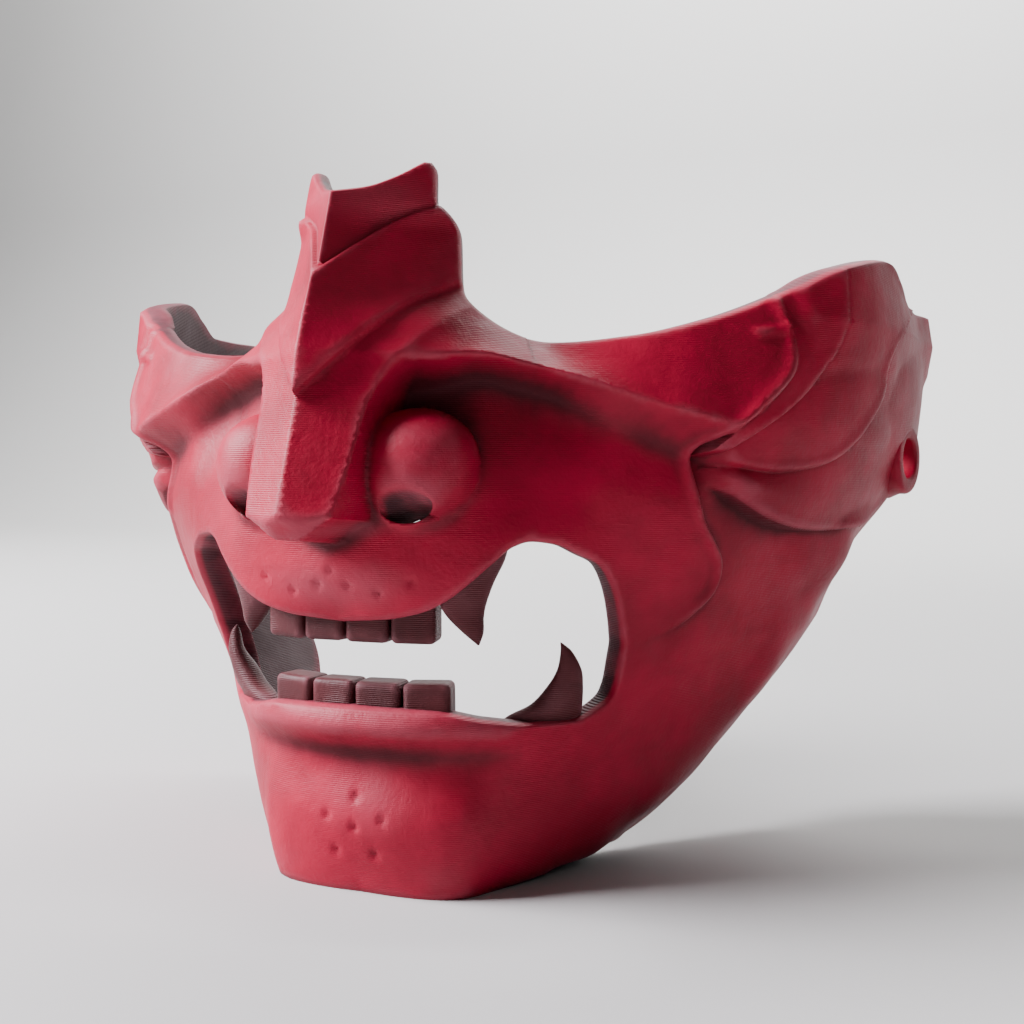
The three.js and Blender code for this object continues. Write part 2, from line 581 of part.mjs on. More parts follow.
/** A fang from oval sections that follow the wall, closed by a flat root and a pointed tip. */
function buildFang(sections, tip, side) {
  const points = [];
  const faces = [];
  sections.forEach(([phi, z, radius, halfWidth, halfDepth]) => {
    const turn = radians(phi);
    for (let k = 0; k < FANG_SIDES; k += 1) {
      const angle = (2 * Math.PI * k) / FANG_SIDES;
      const along = halfWidth * Math.cos(angle);
      const reach = radius + halfDepth * Math.sin(angle);
      const x = reach * Math.sin(turn) + along * Math.cos(turn);
      points.push([side * x, along * Math.sin(turn) - reach * Math.cos(turn), z]);
    }
  });
  const [rootPhi, rootZ, rootRadius] = sections[0];
  const tipIndex = points.push(place(tip[2], tip[0], tip[1], side)) - 1;
  const rootIndex = points.push(place(rootRadius, rootPhi, rootZ, side)) - 1;
  const rising = tip[1] > rootZ;
  const facing = (face) => (rising === side > 0 ? face : face.slice().reverse());
  const last = (sections.length - 1) * FANG_SIDES;
  for (let k = 0; k < FANG_SIDES; k += 1) {
    const next = (k + 1) % FANG_SIDES;
    for (let row = 0; row < last; row += FANG_SIDES) {
      faces.push(facing([row + k, row + FANG_SIDES + k, row + FANG_SIDES + next, row + next]));
    }
    faces.push(facing([last + next, last + k, tipIndex]));
    faces.push(facing([k, next, rootIndex]));
  }
  return solidFrom(points, faces);
}

// ---------------------------------------------------------------- assembly

const printRed = new THREE.MeshStandardMaterial({ color: RED, roughness: 0.55, metalness: 0 });
const washedMaroon = new THREE.MeshStandardMaterial({ color: MAROON, roughness: 0.6, metalness: 0 });

const guard = new THREE.Group();
guard.name = 'samurai_face_guard';

function addPiece(name, geometry, material) {
  const mesh = new THREE.Mesh(geometry, material);
  mesh.name = name;
  guard.add(mesh);
}

const SIDES = [{ label: 'right', side: 1 }, { label: 'left', side: -1 }];

/** Keeps the largest piece of a solid once the grown shell is cut away from it. */
function clearOfShell(solid) {
  const pieces = solid.subtract(grownShell).decompose();
  pieces.sort((a, b) => b.volume() - a.volume());
  return pieces[0];
}

const grownShell = buildShell(GAP);
let shell = buildShell();
SIDES.forEach(({ side }) => {
  shell = shell.subtract(nostrilCutter(side));
  shell = shell.subtract(bossCutter(side, BOSS.radius + GAP));
});
addPiece('mask_shell', geometryOf(shell), printRed);
addPiece('bridge_band', geometryOf(clearOfShell(buildBand())), printRed);

LEAVES.forEach((leaf) => SIDES.forEach(({ label, side }) => {
  const solid = clearOfShell(buildLeaf(leaf, side)).subtract(bossCutter(side, BOSS.radius + GAP));
  addPiece(`${leaf.name}_${label}`, geometryOf(solid), printRed);
}));

/** The strap boss: a ring with a rounded outer edge, set through leaf and shell. */
SIDES.forEach(({ label, side }) => {
  const profile = [
    [BOSS.holeRadius, -BOSS.length], [BOSS.radius, -BOSS.length], [BOSS.radius, -BOSS.edge],
    [BOSS.radius - 0.3 * BOSS.edge, -0.3 * BOSS.edge], [BOSS.radius - BOSS.edge, 0],
    [BOSS.holeRadius, 0], [BOSS.holeRadius, -BOSS.length],
  ].map(([radius, along]) => new THREE.Vector2(radius, along));
  const ring = new THREE.LatheGeometry(profile, 40);
  ring.rotateX(Math.PI / 2);
  addPiece(`strap_boss_${label}`, geometryOf(manifoldOf(moveToBoss(ring, side))), printRed);
});

/** Teeth and fangs grow out of the lips, so the lips are cut away from their roots. */
[['upper_tooth', UPPER_TEETH], ['lower_tooth', LOWER_TEETH]].forEach(([name, row]) => {
  for (let i = 0; i < row.count; i += 1) {
    addPiece(`${name}_${i + 1}`, geometryOf(clearOfShell(manifoldOf(buildTooth(row, i)))), washedMaroon);
  }
});
const FANGS = [['upper_fang', UPPER_FANG, UPPER_FANG_TIP], ['lower_fang', LOWER_FANG, LOWER_FANG_TIP]];
FANGS.forEach(([name, sections, tip]) => {
  SIDES.forEach(({ label, side }) => {
    const solid = clearOfShell(buildFang(sections, tip, side));
    addPiece(`${name}_${label}`, geometryOf(solid), washedMaroon);
  });
});

const box = new THREE.Box3().setFromObject(guard);
guard.position.set(0, -(box.min.y + box.max.y) / 2, -box.min.z);

export default guard;
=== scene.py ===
"""Samurai face guard: the looks of a printed and painted half mask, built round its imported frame.

The face is drawn about an upright axis through the wearer's head. phi is the angle round it in
degrees, 0 at the nose and growing towards the ear; z is the height above the foot; radius is
the distance from the axis. Sizes are millimetres until a mesh is handed to Blender in metres.
"""

import logging
import math
from dataclasses import dataclass, field
from enum import Enum
from typing import Callable, Sequence

import bmesh
import bpy
import numpy as np
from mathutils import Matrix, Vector
from mathutils.geometry import delaunay_2d_cdt

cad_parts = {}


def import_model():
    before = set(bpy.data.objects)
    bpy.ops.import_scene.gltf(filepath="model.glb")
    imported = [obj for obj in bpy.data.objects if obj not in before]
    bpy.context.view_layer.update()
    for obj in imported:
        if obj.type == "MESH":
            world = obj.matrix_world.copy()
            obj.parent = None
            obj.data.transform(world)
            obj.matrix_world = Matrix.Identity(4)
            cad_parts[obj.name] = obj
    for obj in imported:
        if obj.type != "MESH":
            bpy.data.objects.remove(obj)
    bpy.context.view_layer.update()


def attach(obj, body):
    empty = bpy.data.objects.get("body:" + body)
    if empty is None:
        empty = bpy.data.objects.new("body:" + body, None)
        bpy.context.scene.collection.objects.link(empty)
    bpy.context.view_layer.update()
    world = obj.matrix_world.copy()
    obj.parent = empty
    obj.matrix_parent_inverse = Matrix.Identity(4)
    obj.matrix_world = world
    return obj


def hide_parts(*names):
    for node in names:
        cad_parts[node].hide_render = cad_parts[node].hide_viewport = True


LOG = logging.getLogger("face_guard")
MM = 0.001
AXIS_Y = 17.617  # mm from the middle of the part's box forward to the axis through the head
SIDES = {1: "right", -1: "left"}
Knots = Sequence[Sequence[float]]
DEGREE = 1.1  # chart mm that one degree spans


# ------------------------------------------------------------------ curves

def smoothstep(x: np.ndarray, low: float, high: float) -> np.ndarray:
    """Rise smoothly from 0 at low to 1 at high."""
    t = np.clip((x - low) / (high - low), 0, 1)
    return t * t * (3 - 2 * t)


def soft_max(a: np.ndarray, b: np.ndarray, width: float) -> np.ndarray:
    """Return the larger value, with the corner between the two softened over a width."""
    return (a + b + np.hypot(a - b, width)) / 2


def bell(x: np.ndarray, width: float) -> np.ndarray:
    """Return a bump of height 1 that fades over a width on both sides of 0."""
    return np.exp(-(x / width) ** 2)


def monotone(x: np.ndarray, xs: np.ndarray, ys: np.ndarray) -> np.ndarray:
    """Evaluate a monotone cubic, one per point.

    Args:
        x: where to evaluate, N values.
        xs: knot positions, K rows by N (or by 1), rising.
        ys: knot values, of the same shape.

    Returns:
        N values that never overshoot the knots.
    """
    gaps = np.diff(xs, axis=0)
    steps = np.diff(ys, axis=0) / gaps
    before, after = steps[:-1], steps[1:]
    same = before * after > 0
    total = np.where(same, before + after, 1.0)
    inner = np.where(same, 2 * before * after / total, 0.0)
    slopes = np.concatenate([steps[:1], inner, steps[-1:]])
    index = (x[None, :] > xs[1:-1]).sum(axis=0)
    columns = np.arange(len(x)) if xs.shape[1] > 1 else np.zeros(len(x), int)
    x0, width = xs[index, columns], gaps[index, columns]
    u = np.clip((x - x0) / width, 0, 1)
    y0, y1 = ys[index, columns], ys[index + 1, columns]
    m0, m1 = slopes[index, columns], slopes[index + 1, columns]
    base = y0 * (1 + 2 * u) * (1 - u) ** 2 + y1 * u * u * (3 - 2 * u)
    return base + width * u * (1 - u) * (m0 * (1 - u) - m1 * u)


class Curve:
    """A smooth curve through (x, y) knots that never overshoots them."""

    def __init__(self, knots: Knots) -> None:
        """Keep the knots as columns."""
        table = np.array(knots, float)
        self.xs, self.ys = table[:, :1], table[:, 1:2]

    def __call__(self, x: np.ndarray) -> np.ndarray:
        """Evaluate the curve at any array of positions."""
        flat = np.atleast_1d(np.asarray(x, float)).ravel()
        return monotone(flat, self.xs, self.ys).reshape(np.shape(x))


class Rail:
    """A line across the face, from (phi, z, radius) knots."""

    def __init__(self, *knots: Sequence[float]) -> None:
        """Split the knots into a height curve and a radius curve."""
        self.height = Curve([(k[0], k[1]) for k in knots])
        self.radius = Curve([(k[0], k[2]) for k in knots])


def catmull_rom(knots: Knots, t: np.ndarray) -> np.ndarray:
    """Sample a Catmull-Rom spline.

    Args:
        knots: the points it passes through.
        t: positions from 0 to 1.

    Returns:
        One row of coordinates per position.
    """
    p = np.array(knots, float)
    p = np.vstack([2 * p[0] - p[1], p, 2 * p[-1] - p[-2]])
    span = np.clip(np.asarray(t, float), 0, 1) * (len(p) - 3)
    i = np.minimum(span.astype(int), len(p) - 4)
    u = (span - i)[:, None]
    a, b, c, d = p[i], p[i + 1], p[i + 2], p[i + 3]
    return 0.5 * (2 * b + (c - a) * u + (2 * a - 5 * b + 4 * c - d) * u ** 2
                  + (3 * b - a - 3 * c + d) * u ** 3)


def resample(points: np.ndarray, spacing: float, lengths: np.ndarray | None = None) -> np.ndarray:
    """Space points evenly along a polyline.

    Args:
        points: the polyline, one row per point.
        spacing: the wanted distance.
        lengths: the length of each segment, where it isn't the polyline's own.

    Returns:
        The evenly spaced points, both ends included.
    """
    if lengths is None:
        lengths = np.linalg.norm(np.diff(points, axis=0), axis=1)
    along = np.concatenate([[0], np.cumsum(lengths)])
    count = max(2, int(round(along[-1] / spacing)) + 1)
    marks = np.linspace(0, along[-1], count)
    return np.stack([np.interp(marks, along, points[:, k]) for k in range(points.shape[1])], axis=1)


def distance_to_line(points: np.ndarray, line: np.ndarray) -> tuple[np.ndarray, np.ndarray]:
    """Measure how far points lie from a polyline in the plane.

    Args:
        points: N rows of (u, v).
        line: the polyline's (u, v) rows.

    Returns:
        The distance, and a value whose sign says on which side each point lies.
    """
    nearest = np.full(len(points), np.inf)
    side = np.zeros(len(points))
    for a, b in zip(line[:-1], line[1:]):
        d = b - a
        p = points - a
        along = np.clip((p @ d) / (d @ d), 0, 1)
        distance = np.hypot(p[:, 0] - along * d[0], p[:, 1] - along * d[1])
        closer = distance < nearest - 1e-6
        nearest = np.where(closer, distance, nearest)
        side = np.where(closer, d[0] * p[:, 1] - d[1] * p[:, 0], side)
    return nearest, side


def inside_polygon(points: np.ndarray, polygon: np.ndarray) -> np.ndarray:
    """Say which points lie inside a closed polygon, by the crossings of a ray."""
    inside = np.zeros(len(points), bool)
    x, y = points[:, 0], points[:, 1]
    for (ax, ay), (bx, by) in zip(polygon, np.roll(polygon, -1, axis=0)):
        crosses = (ay > y) != (by > y)
        with np.errstate(divide="ignore", invalid="ignore"):
            at = (bx - ax) * (y - ay) / (by - ay) + ax
        inside ^= crosses & (x < at)
    return inside


# ------------------------------------------------------------------ the face

BROW_TOP = Rail(
    (0, 118, 42), (18, 101, 44.6), (22, 96, 46), (27, 93, 47), (35, 90.5, 47.8), (40, 90, 51.6),
    (47, 90.6, 55.3), (56, 92.8, 59.3), (65, 96, 63.6), (74, 101, 68.6), (80, 105, 73.2),
    (93, 108, 77.4), (109, 102, 85), (117, 102, 93))
BROW_CREST = Rail(
    (0, 88, 58), (15, 87.2, 58.4), (22, 88, 56.2), (30, 86.6, 55.8), (38.4, 84.4, 58),
    (49, 80.6, 62.4), (55, 78.6, 65.6), (60, 77.4, 67.6), (66, 83, 69.4), (76, 88, 73.2),
    (86, 89, 77.3), (93, 89, 80), (100, 89, 82.8), (107, 89, 86.8), (117, 89, 95))
BROW_FOLD = Rail(
    (0, 81, 54), (14, 82, 51.8), (23, 83.3, 51.2), (30, 82, 50.9), (36, 80.6, 52.2),
    (41, 78, 54.4), (46, 75.3, 56.8), (52, 72.9, 58.2), (57.5, 71, 60), (62, 72.6, 66),
    (67.5, 77, 70), (76, 78, 72.4), (84, 78, 76.4), (90, 78, 79.3), (96, 78, 82), (107, 78, 86),
    (117, 78, 93.6))
CHEEK = Rail(
    (0, 66, 60), (15, 66, 60), (27, 66, 57.5), (35, 66, 57), (44, 66, 58.2), (52, 65, 59.4),
    (60, 64, 61.2), (66, 66, 62.8), (72, 66, 64), (81, 66, 66.5), (90, 66, 71), (100, 66, 76.6),
    (108, 66, 81.4), (117, 66, 89))
NOSE_BASE = Rail(
    (0, 56, 61), (10, 56, 60.3), (20, 55, 59.8), (30, 58.5, 58.6), (38, 57.5, 58.2),
    (46, 56, 57.4), (54, 55, 57.8), (60, 54.5, 58.8), (66, 54, 59.6), (72, 54, 60.8),
    (80, 54, 63), (90, 54, 68.4), (98, 54, 73.1), (104, 54, 74), (110, 54, 75.4), (116, 54, 78))
UPPER_LIP = Rail(
    (0, 46.5, 57.6), (10, 46.8, 58.6), (17, 48, 59.2), (25, 47, 58), (35, 47, 56.5), (44, 47, 55),
    (50, 46, 53.9), (54, 46, 54.3), (58, 46, 55.1), (62, 46, 55.9), (66, 46, 56.6),
    (72, 46, 57.6), (80, 46, 59.8), (90, 46, 64.2), (97, 46, 68), (104, 46, 69.3), (110, 46, 71.1),
    (116, 46, 73.8))
MOUTH_CORNER = Rail(
    (0, 33, 54.4), (15, 33, 54.4), (25, 33, 53), (35, 33, 51.5), (44, 33, 50.4), (51, 33, 49.8),
    (58, 33, 50), (66, 33, 50.8), (74, 33, 52.4), (82, 33, 55.2), (90, 33.5, 59.6), (97, 34, 60.6),
    (104, 34, 61.8), (116, 34, 65.8))
LOWER_LIP = Rail(
    (0, 28.6, 56.2), (10, 28.6, 56), (19, 28.5, 54.8), (27, 27.6, 52.6), (34, 27, 50.6),
    (42, 26.5, 49.4), (50, 27.5, 48.7), (58, 28, 48.3), (66, 28, 49), (74, 28, 50.8),
    (82, 28, 53.6), (88, 28, 56), (94, 28, 56.4), (100, 28, 56.9), (106, 28.4, 58.3),
    (112, 30, 61.4), (116, 31, 63.2))
LIP_HOLLOW = Rail(
    (0, 22.5, 51.2), (15, 22.5, 51.8), (25, 22.5, 50.6), (35, 22, 49.2), (45, 21.5, 47.6),
    (55, 21.5, 46.8), (65, 22, 47.3), (75, 22, 49.4), (84, 22.3, 51.6), (92, 22.5, 51.9),
    (100, 22.8, 52.5), (106, 24, 54.7), (112, 26, 58.2), (116, 27.4, 60.6))
CHIN = Rail(
    (0, 12, 53.4), (15, 12, 53.8), (19.5, 12, 53.4), (25, 12.5, 51.2), (30, 13, 49.6),
    (40, 13, 47), (50, 13, 45.5), (60, 13, 45.3), (68, 13, 46), (76, 13, 45.8), (84, 13, 45.1),
    (90, 13.6, 45.2), (95, 15.4, 46.6), (100, 18.4, 49.3), (106, 21, 52.4), (112, 23.6, 56.3))
JAW_EDGE = Rail(
    (0, 0, 51.8), (15, 0, 52.8), (19, 0, 52.2), (27, 0.5, 47.8), (36, 1, 44.8), (42, 1.5, 43),
    (53, 2, 41), (62, 2.4, 38.4), (70, 3, 36.8), (80, 6, 39), (90, 10, 42), (101, 16, 47.7),
    (112, 22, 54.8))
CHIN_TO_BROW = (JAW_EDGE, CHIN, LIP_HOLLOW, LOWER_LIP, MOUTH_CORNER, UPPER_LIP, NOSE_BASE,
                CHEEK, BROW_FOLD, BROW_CREST)


@dataclass
class Nose:
    """Two flat flanks that meet in a ridge, cut off below by a chamfered underside."""

    tip_z: float = 63
    tip_radius: float = 75.6
    rake: float = 0.325
    underside_z: float = 59.2
    side_lift: float = 3.4
    root_radius: float = 61
    cut_slope: float = 11
    lip_radius: float = 72.6
    chamfer: float = 0.8
    wall_slope: float = 7.5
    spread: Curve = field(default_factory=lambda: Curve(
        [(62, 0.42), (75, 0.5), (83, 0.58), (92, 0.92), (100, 1.3), (108, 1.3), (113.5, 1),
         (119, 0.98)]))
    half_width: Curve = field(default_factory=lambda: Curve(
        [(58.5, 5), (60, 6), (62.5, 7.1), (72, 8.6), (79, 9.2), (85, 11), (94, 16), (100, 20),
         (119, 30)]))

    def radius(self, phi: np.ndarray, z: np.ndarray) -> np.ndarray:
        """Return the nose's own radius, low where the nose isn't."""
        angle = np.radians(phi)
        ridge = self.tip_radius - self.rake * (z - self.tip_z)
        flank = ridge / (np.cos(angle) + self.spread(z) * np.sin(angle))
        sideways = flank * np.sin(angle) - self.half_width(z)
        rise = z - self.underside_z - self.side_lift * smoothstep(flank * np.sin(angle), 1.5, 8)
        cut = self.root_radius + (rise + 0.9) * self.cut_slope
        lip = np.minimum(cut, self.lip_radius + rise * self.chamfer)
        slope = self.wall_slope + (1 - self.wall_slope) * smoothstep(z, 80, 88)
        return np.minimum(flank - slope * np.maximum(0, sideways), lip)

    def edge(self, z: np.ndarray) -> np.ndarray:
        """Return the phi of the flank's outer edge at a height."""
        ridge = self.tip_radius - self.rake * (z - self.tip_z)
        across = self.half_width(z)
        return np.degrees(np.arctan2(across, ridge - self.spread(z) * across))


@dataclass
class Nostril:
    """The rounded wing beside the nose and the slanted hole under it."""

    phi: float = 13.2
    z: float = 69.8
    core: float = 54.6
    swell: float = 11.6
    half_width: float = 9.8
    half_height: float = 9.6
    hole_x: float = 13.6
    hole_z: float = 64.4
    hole_half: tuple[float, float] = (4.6, 2.8)
    hole_tilt: float = 0.2
    tunnel: tuple[float, float] = (0.6, -5.2)

    def radius(self, phi: np.ndarray, surface: np.ndarray, z: np.ndarray) -> np.ndarray:
        """Return the wing's radius, 0 outside it."""
        across = np.radians(phi - self.phi) * surface / self.half_width
        along = (z - self.z) / self.half_height
        bulb = np.maximum(0, 1 - across ** 2 - along ** 2)
        return np.where(bulb > 0, self.core + self.swell * np.sqrt(bulb), 0)

    def hole(self, points: np.ndarray, inner: bool) -> np.ndarray:
        """Return 1 on the hole's outline, less inside it; the tunnel's inner end lies lower."""
        aside, up = self.tunnel if inner else (0, 0)
        x, z = points[:, 0] - self.hole_x - aside, points[:, 2] - self.hole_z - up
        c, s = math.cos(self.hole_tilt), math.sin(self.hole_tilt)
        return np.hypot((x * c + z * s) / self.hole_half[0], (z * c - x * s) / self.hole_half[1])


@dataclass
class CheekPanel:
    """The raised panel of the upper cheek, edged by a bead that runs down to the mouth."""

    edge: Knots = (
        (69.6, 106), (71, 97), (71, 91), (69.8, 86), (65, 80), (60, 75.6), (57.7, 73.4),
        (57.5, 70.8), (59.4, 63), (62.6, 58.5), (65.2, 55.2), (66.2, 52), (65.8, 48.6),
        (63.4, 45.8), (60, 43.6), (52, 40.8))
    step: Curve = field(default_factory=lambda: Curve(
        [(40, 0), (46, 1), (64, 1.5), (71, 3.2), (78, 5), (87, 3.2), (95, 0.5)]))
    step_width: float = 1.0
    bead_height: float = 0.85
    bead_width: float = 0.75

    def line(self) -> np.ndarray:
        """Return the edge as a smooth chart polyline."""
        return to_chart(catmull_rom(self.edge, np.linspace(0, 1, 90)))

    def outside(self, phi: np.ndarray, z: np.ndarray) -> np.ndarray:
        """Return the signed distance outside the panel's edge, in mm."""
        nearest, side = distance_to_line(to_chart(np.stack([phi, z], axis=1)), self.line())
        return np.where(side > 0, nearest, -nearest)

    def relief(self, phi: np.ndarray, z: np.ndarray) -> np.ndarray:
        """Return what the panel adds to the face's radius: its bead, and the step behind it."""
        out = self.outside(phi, z)
        bead = self.bead_height * bell(out + 0.9, self.bead_width) * smoothstep(z, 42, 50)
        nick = 0.5 * bell(np.hypot((phi - 64.6) * DEGREE, z - 79.6), 0.7)
        tab = 0.6 * smoothstep(1.1 - np.abs(z - 92.6 - 0.25 * (phi - 68)), 0, 0.5)
        tab = tab * smoothstep(2.6 - np.abs(phi - 68.2), 0, 0.5)
        drop = self.step(z) * smoothstep(out, 0, self.step_width)
        return (bead - nick + tab) * (out < 0.6) - drop


@dataclass
class BridgeBand:
    """The raised chevron across the bridge of the nose."""

    rise: float = 1.5
    half_angle: float = 20.4
    lower: Curve = field(default_factory=lambda: Curve(
        [(0, 81), (4, 86.8), (8, 92), (12, 96.2), (18.6, 99.8)]))
    upper: Curve = field(default_factory=lambda: Curve(
        [(0, 100.3), (4, 105.4), (8, 109.2), (12, 111.2), (15.8, 112.2)]))

    def depth(self, phi: np.ndarray, z: np.ndarray) -> np.ndarray:
        """Return how far inside the band's edge a point is, in mm."""
        up = np.minimum(z - self.lower(phi), self.upper(phi) - z) * 0.75
        return np.minimum(up, (self.half_angle - phi) * 0.95)

    def relief(self, phi: np.ndarray, z: np.ndarray) -> np.ndarray:
        """Return what the band adds to the radius."""
        depth = self.depth(phi, z)
        soft = self.rise * (0.78 * smoothstep(depth, -0.2, 0.2) + 0.22 * smoothstep(depth, 0, 1.1))
        return soft * (phi < self.half_angle + 1)

    def outline(self, grow: float) -> np.ndarray:
        """Return the outline of the right half as a chart polyline, moved out by grow mm."""
        edge = self.half_angle + grow / 0.95
        phis = np.linspace(0.01, edge, 26)
        low = np.stack([phis, self.lower(phis) - grow / 0.75], axis=1)
        high = np.stack([phis, self.upper(phis) + grow / 0.75], axis=1)
        side = np.linspace(low[-1], high[-1], 12)[1:-1]
        return to_chart(np.concatenate([low, side, high[::-1]]))


LEAF_LINES = (
    ((70, 106, 65.5), (71.3, 97, 68.5), (71.4, 91, 70.4), (70.1, 85.6, 70.8), (65.4, 79.6, 69.1),
     (60.4, 75.2, 66.8), (58.1, 71.6, 63.4)),
    ((80.2, 110, 73.4), (79.2, 92, 73), (76.5, 86.3, 71.9), (72.4, 81.4, 70.2), (66.5, 77, 68.4),
     (59.4, 71.4, 64)),
    ((114, 105, 88), (95.5, 94, 79.6), (92, 82.5, 78), (84.5, 72.4, 72.6), (72.6, 69.4, 67),
     (60, 70.8, 63.6)),
    ((117.5, 108, 95), (116.4, 76, 91), (104, 61.4, 77.4), (90, 58.8, 69.4), (74, 60.6, 65.2),
     (59.6, 67.6, 62.8)),
)
LEAF_SWELL = (0.2, 0.4, 0.7)


@dataclass
class LeafFan:
    """Three overlapping leaves that fan back over the ear, each one under the leaf in front."""

    step: float = 0.7
    least: float = 1.7
    margin: float = 0.22
    lip: float = 0.35
    lip_width: float = 1.3

    def __post_init__(self) -> None:
        """Sample each leaf once, to look a chart point up by its nearest sample."""
        self.along = np.linspace(0, 1, 90)
        self.lines = [catmull_rom(knots, self.along) for knots in LEAF_LINES]

    def across(self, leaf: int, t: np.ndarray, s: np.ndarray) -> np.ndarray:
        """Return (phi, z, radius) of a leaf at t along it and s across it."""
        a, b = (np.stack([np.interp(t, self.along, line[:, k]) for k in range(3)], axis=1)
                for line in self.lines[leaf:leaf + 2])
        s = s[:, None]
        point = a + (b - a) * s
        point[:, 2] -= self.step * (1 - s[:, 0])
        point[:, 2] += LEAF_SWELL[leaf] * 4 * s[:, 0] * (1 - s[:, 0])
        return point

    def outline(self, leaf: int) -> np.ndarray:
        """Return a leaf's closed outline as a chart polygon."""
        ends = np.concatenate([self.lines[leaf][:, :2], self.lines[leaf + 1][::-1, :2]])
        return to_chart(ends)

    def locate(self, leaf: int, points: np.ndarray) -> tuple[np.ndarray, np.ndarray]:
        """Find where chart points lie on a leaf.

        Args:
            leaf: which leaf, from the front.
            points: chart points.

        Returns:
            t along the leaf and s across it.
        """
        t0, s0 = (grid.ravel() for grid in np.meshgrid(self.along, np.linspace(0, 1, 13)))
        seeds = to_chart(self.across(leaf, t0, s0)[:, :2])
        t, s = np.empty(len(points)), np.empty(len(points))
        for start in range(0, len(points), 2000):
            part = slice(start, start + 2000)
            gap = ((points[part, None, :] - seeds[None]) ** 2).sum(axis=2)
            best = gap.argmin(axis=1)
            t[part], s[part] = t0[best], s0[best]
        for _ in range(4):
            here = to_chart(self.across(leaf, t, s)[:, :2])
            nudge = 1e-3
            du = (to_chart(self.across(leaf, np.clip(t + nudge, 0, 1), s)[:, :2]) - here) / nudge
            dv = (to_chart(self.across(leaf, t, s + nudge)[:, :2]) - here) / nudge
            miss = points - here
            det = du[:, 0] * dv[:, 1] - du[:, 1] * dv[:, 0]
            det = np.where(np.abs(det) < 1e-3, 1e-3, det)
            t = np.clip(t + np.clip((miss[:, 0] * dv[:, 1] - miss[:, 1] * dv[:, 0]) / det, -.05, .05), 0, 1)
            s = np.clip(s + np.clip((du[:, 0] * miss[:, 1] - du[:, 1] * miss[:, 0]) / det, -.2, .2), 0, 1)
        return t, s

    def width(self, leaf: int, t: np.ndarray) -> np.ndarray:
        """Return how wide a leaf is at t, in chart mm."""
        a, b = self.across(leaf, t, t * 0), self.across(leaf, t, t * 0 + 1)
        return np.maximum(0.2, np.hypot(*(to_chart(b[:, :2]) - to_chart(a[:, :2])).T))

    def lift(self, phi: np.ndarray, z: np.ndarray, skin: np.ndarray) -> np.ndarray:
        """Return the radius with the leaves laid over the skin."""
        points = to_chart(np.stack([phi, z], axis=1))
        radius = skin.copy()
        for leaf in range(3):
            over = np.flatnonzero((phi > 57) & inside_polygon(points, self.outline(leaf)))
            if not len(over):
                continue
            t, s = self.locate(leaf, points[over])
            top = self.across(leaf, t, s)[:, 2]
            rim = (1 - s) * self.width(leaf, t)
            root = smoothstep(s, 0, 0.4) if leaf == 0 else 1
            top = np.maximum(top, skin[over] + self.least * root)
            top += self.lip * bell(rim - 0.9, self.lip_width) - 0.5 * bell(rim, 0.45)
            if leaf == 2:
                top += 0.9 * smoothstep(t, 0.72, 0.98) * bell(s - 0.45, 0.3)
            fade = smoothstep(1 - t, 0.0, 0.07)
            radius[over] = skin[over] + (top - skin[over]) * fade
        return radius

    def creases(self) -> list[np.ndarray]:
        """Return chart polylines on both sides of every leaf's edges."""
        found = []
        for leaf in range(3):
            t = np.linspace(0.01, 0.96, 80)
            edge = self.margin / self.width(leaf, t)
            for s in (edge, 1 - edge, 1 + edge):
                found.append(to_chart(self.across(leaf, t, s)[:, :2]))
        return found


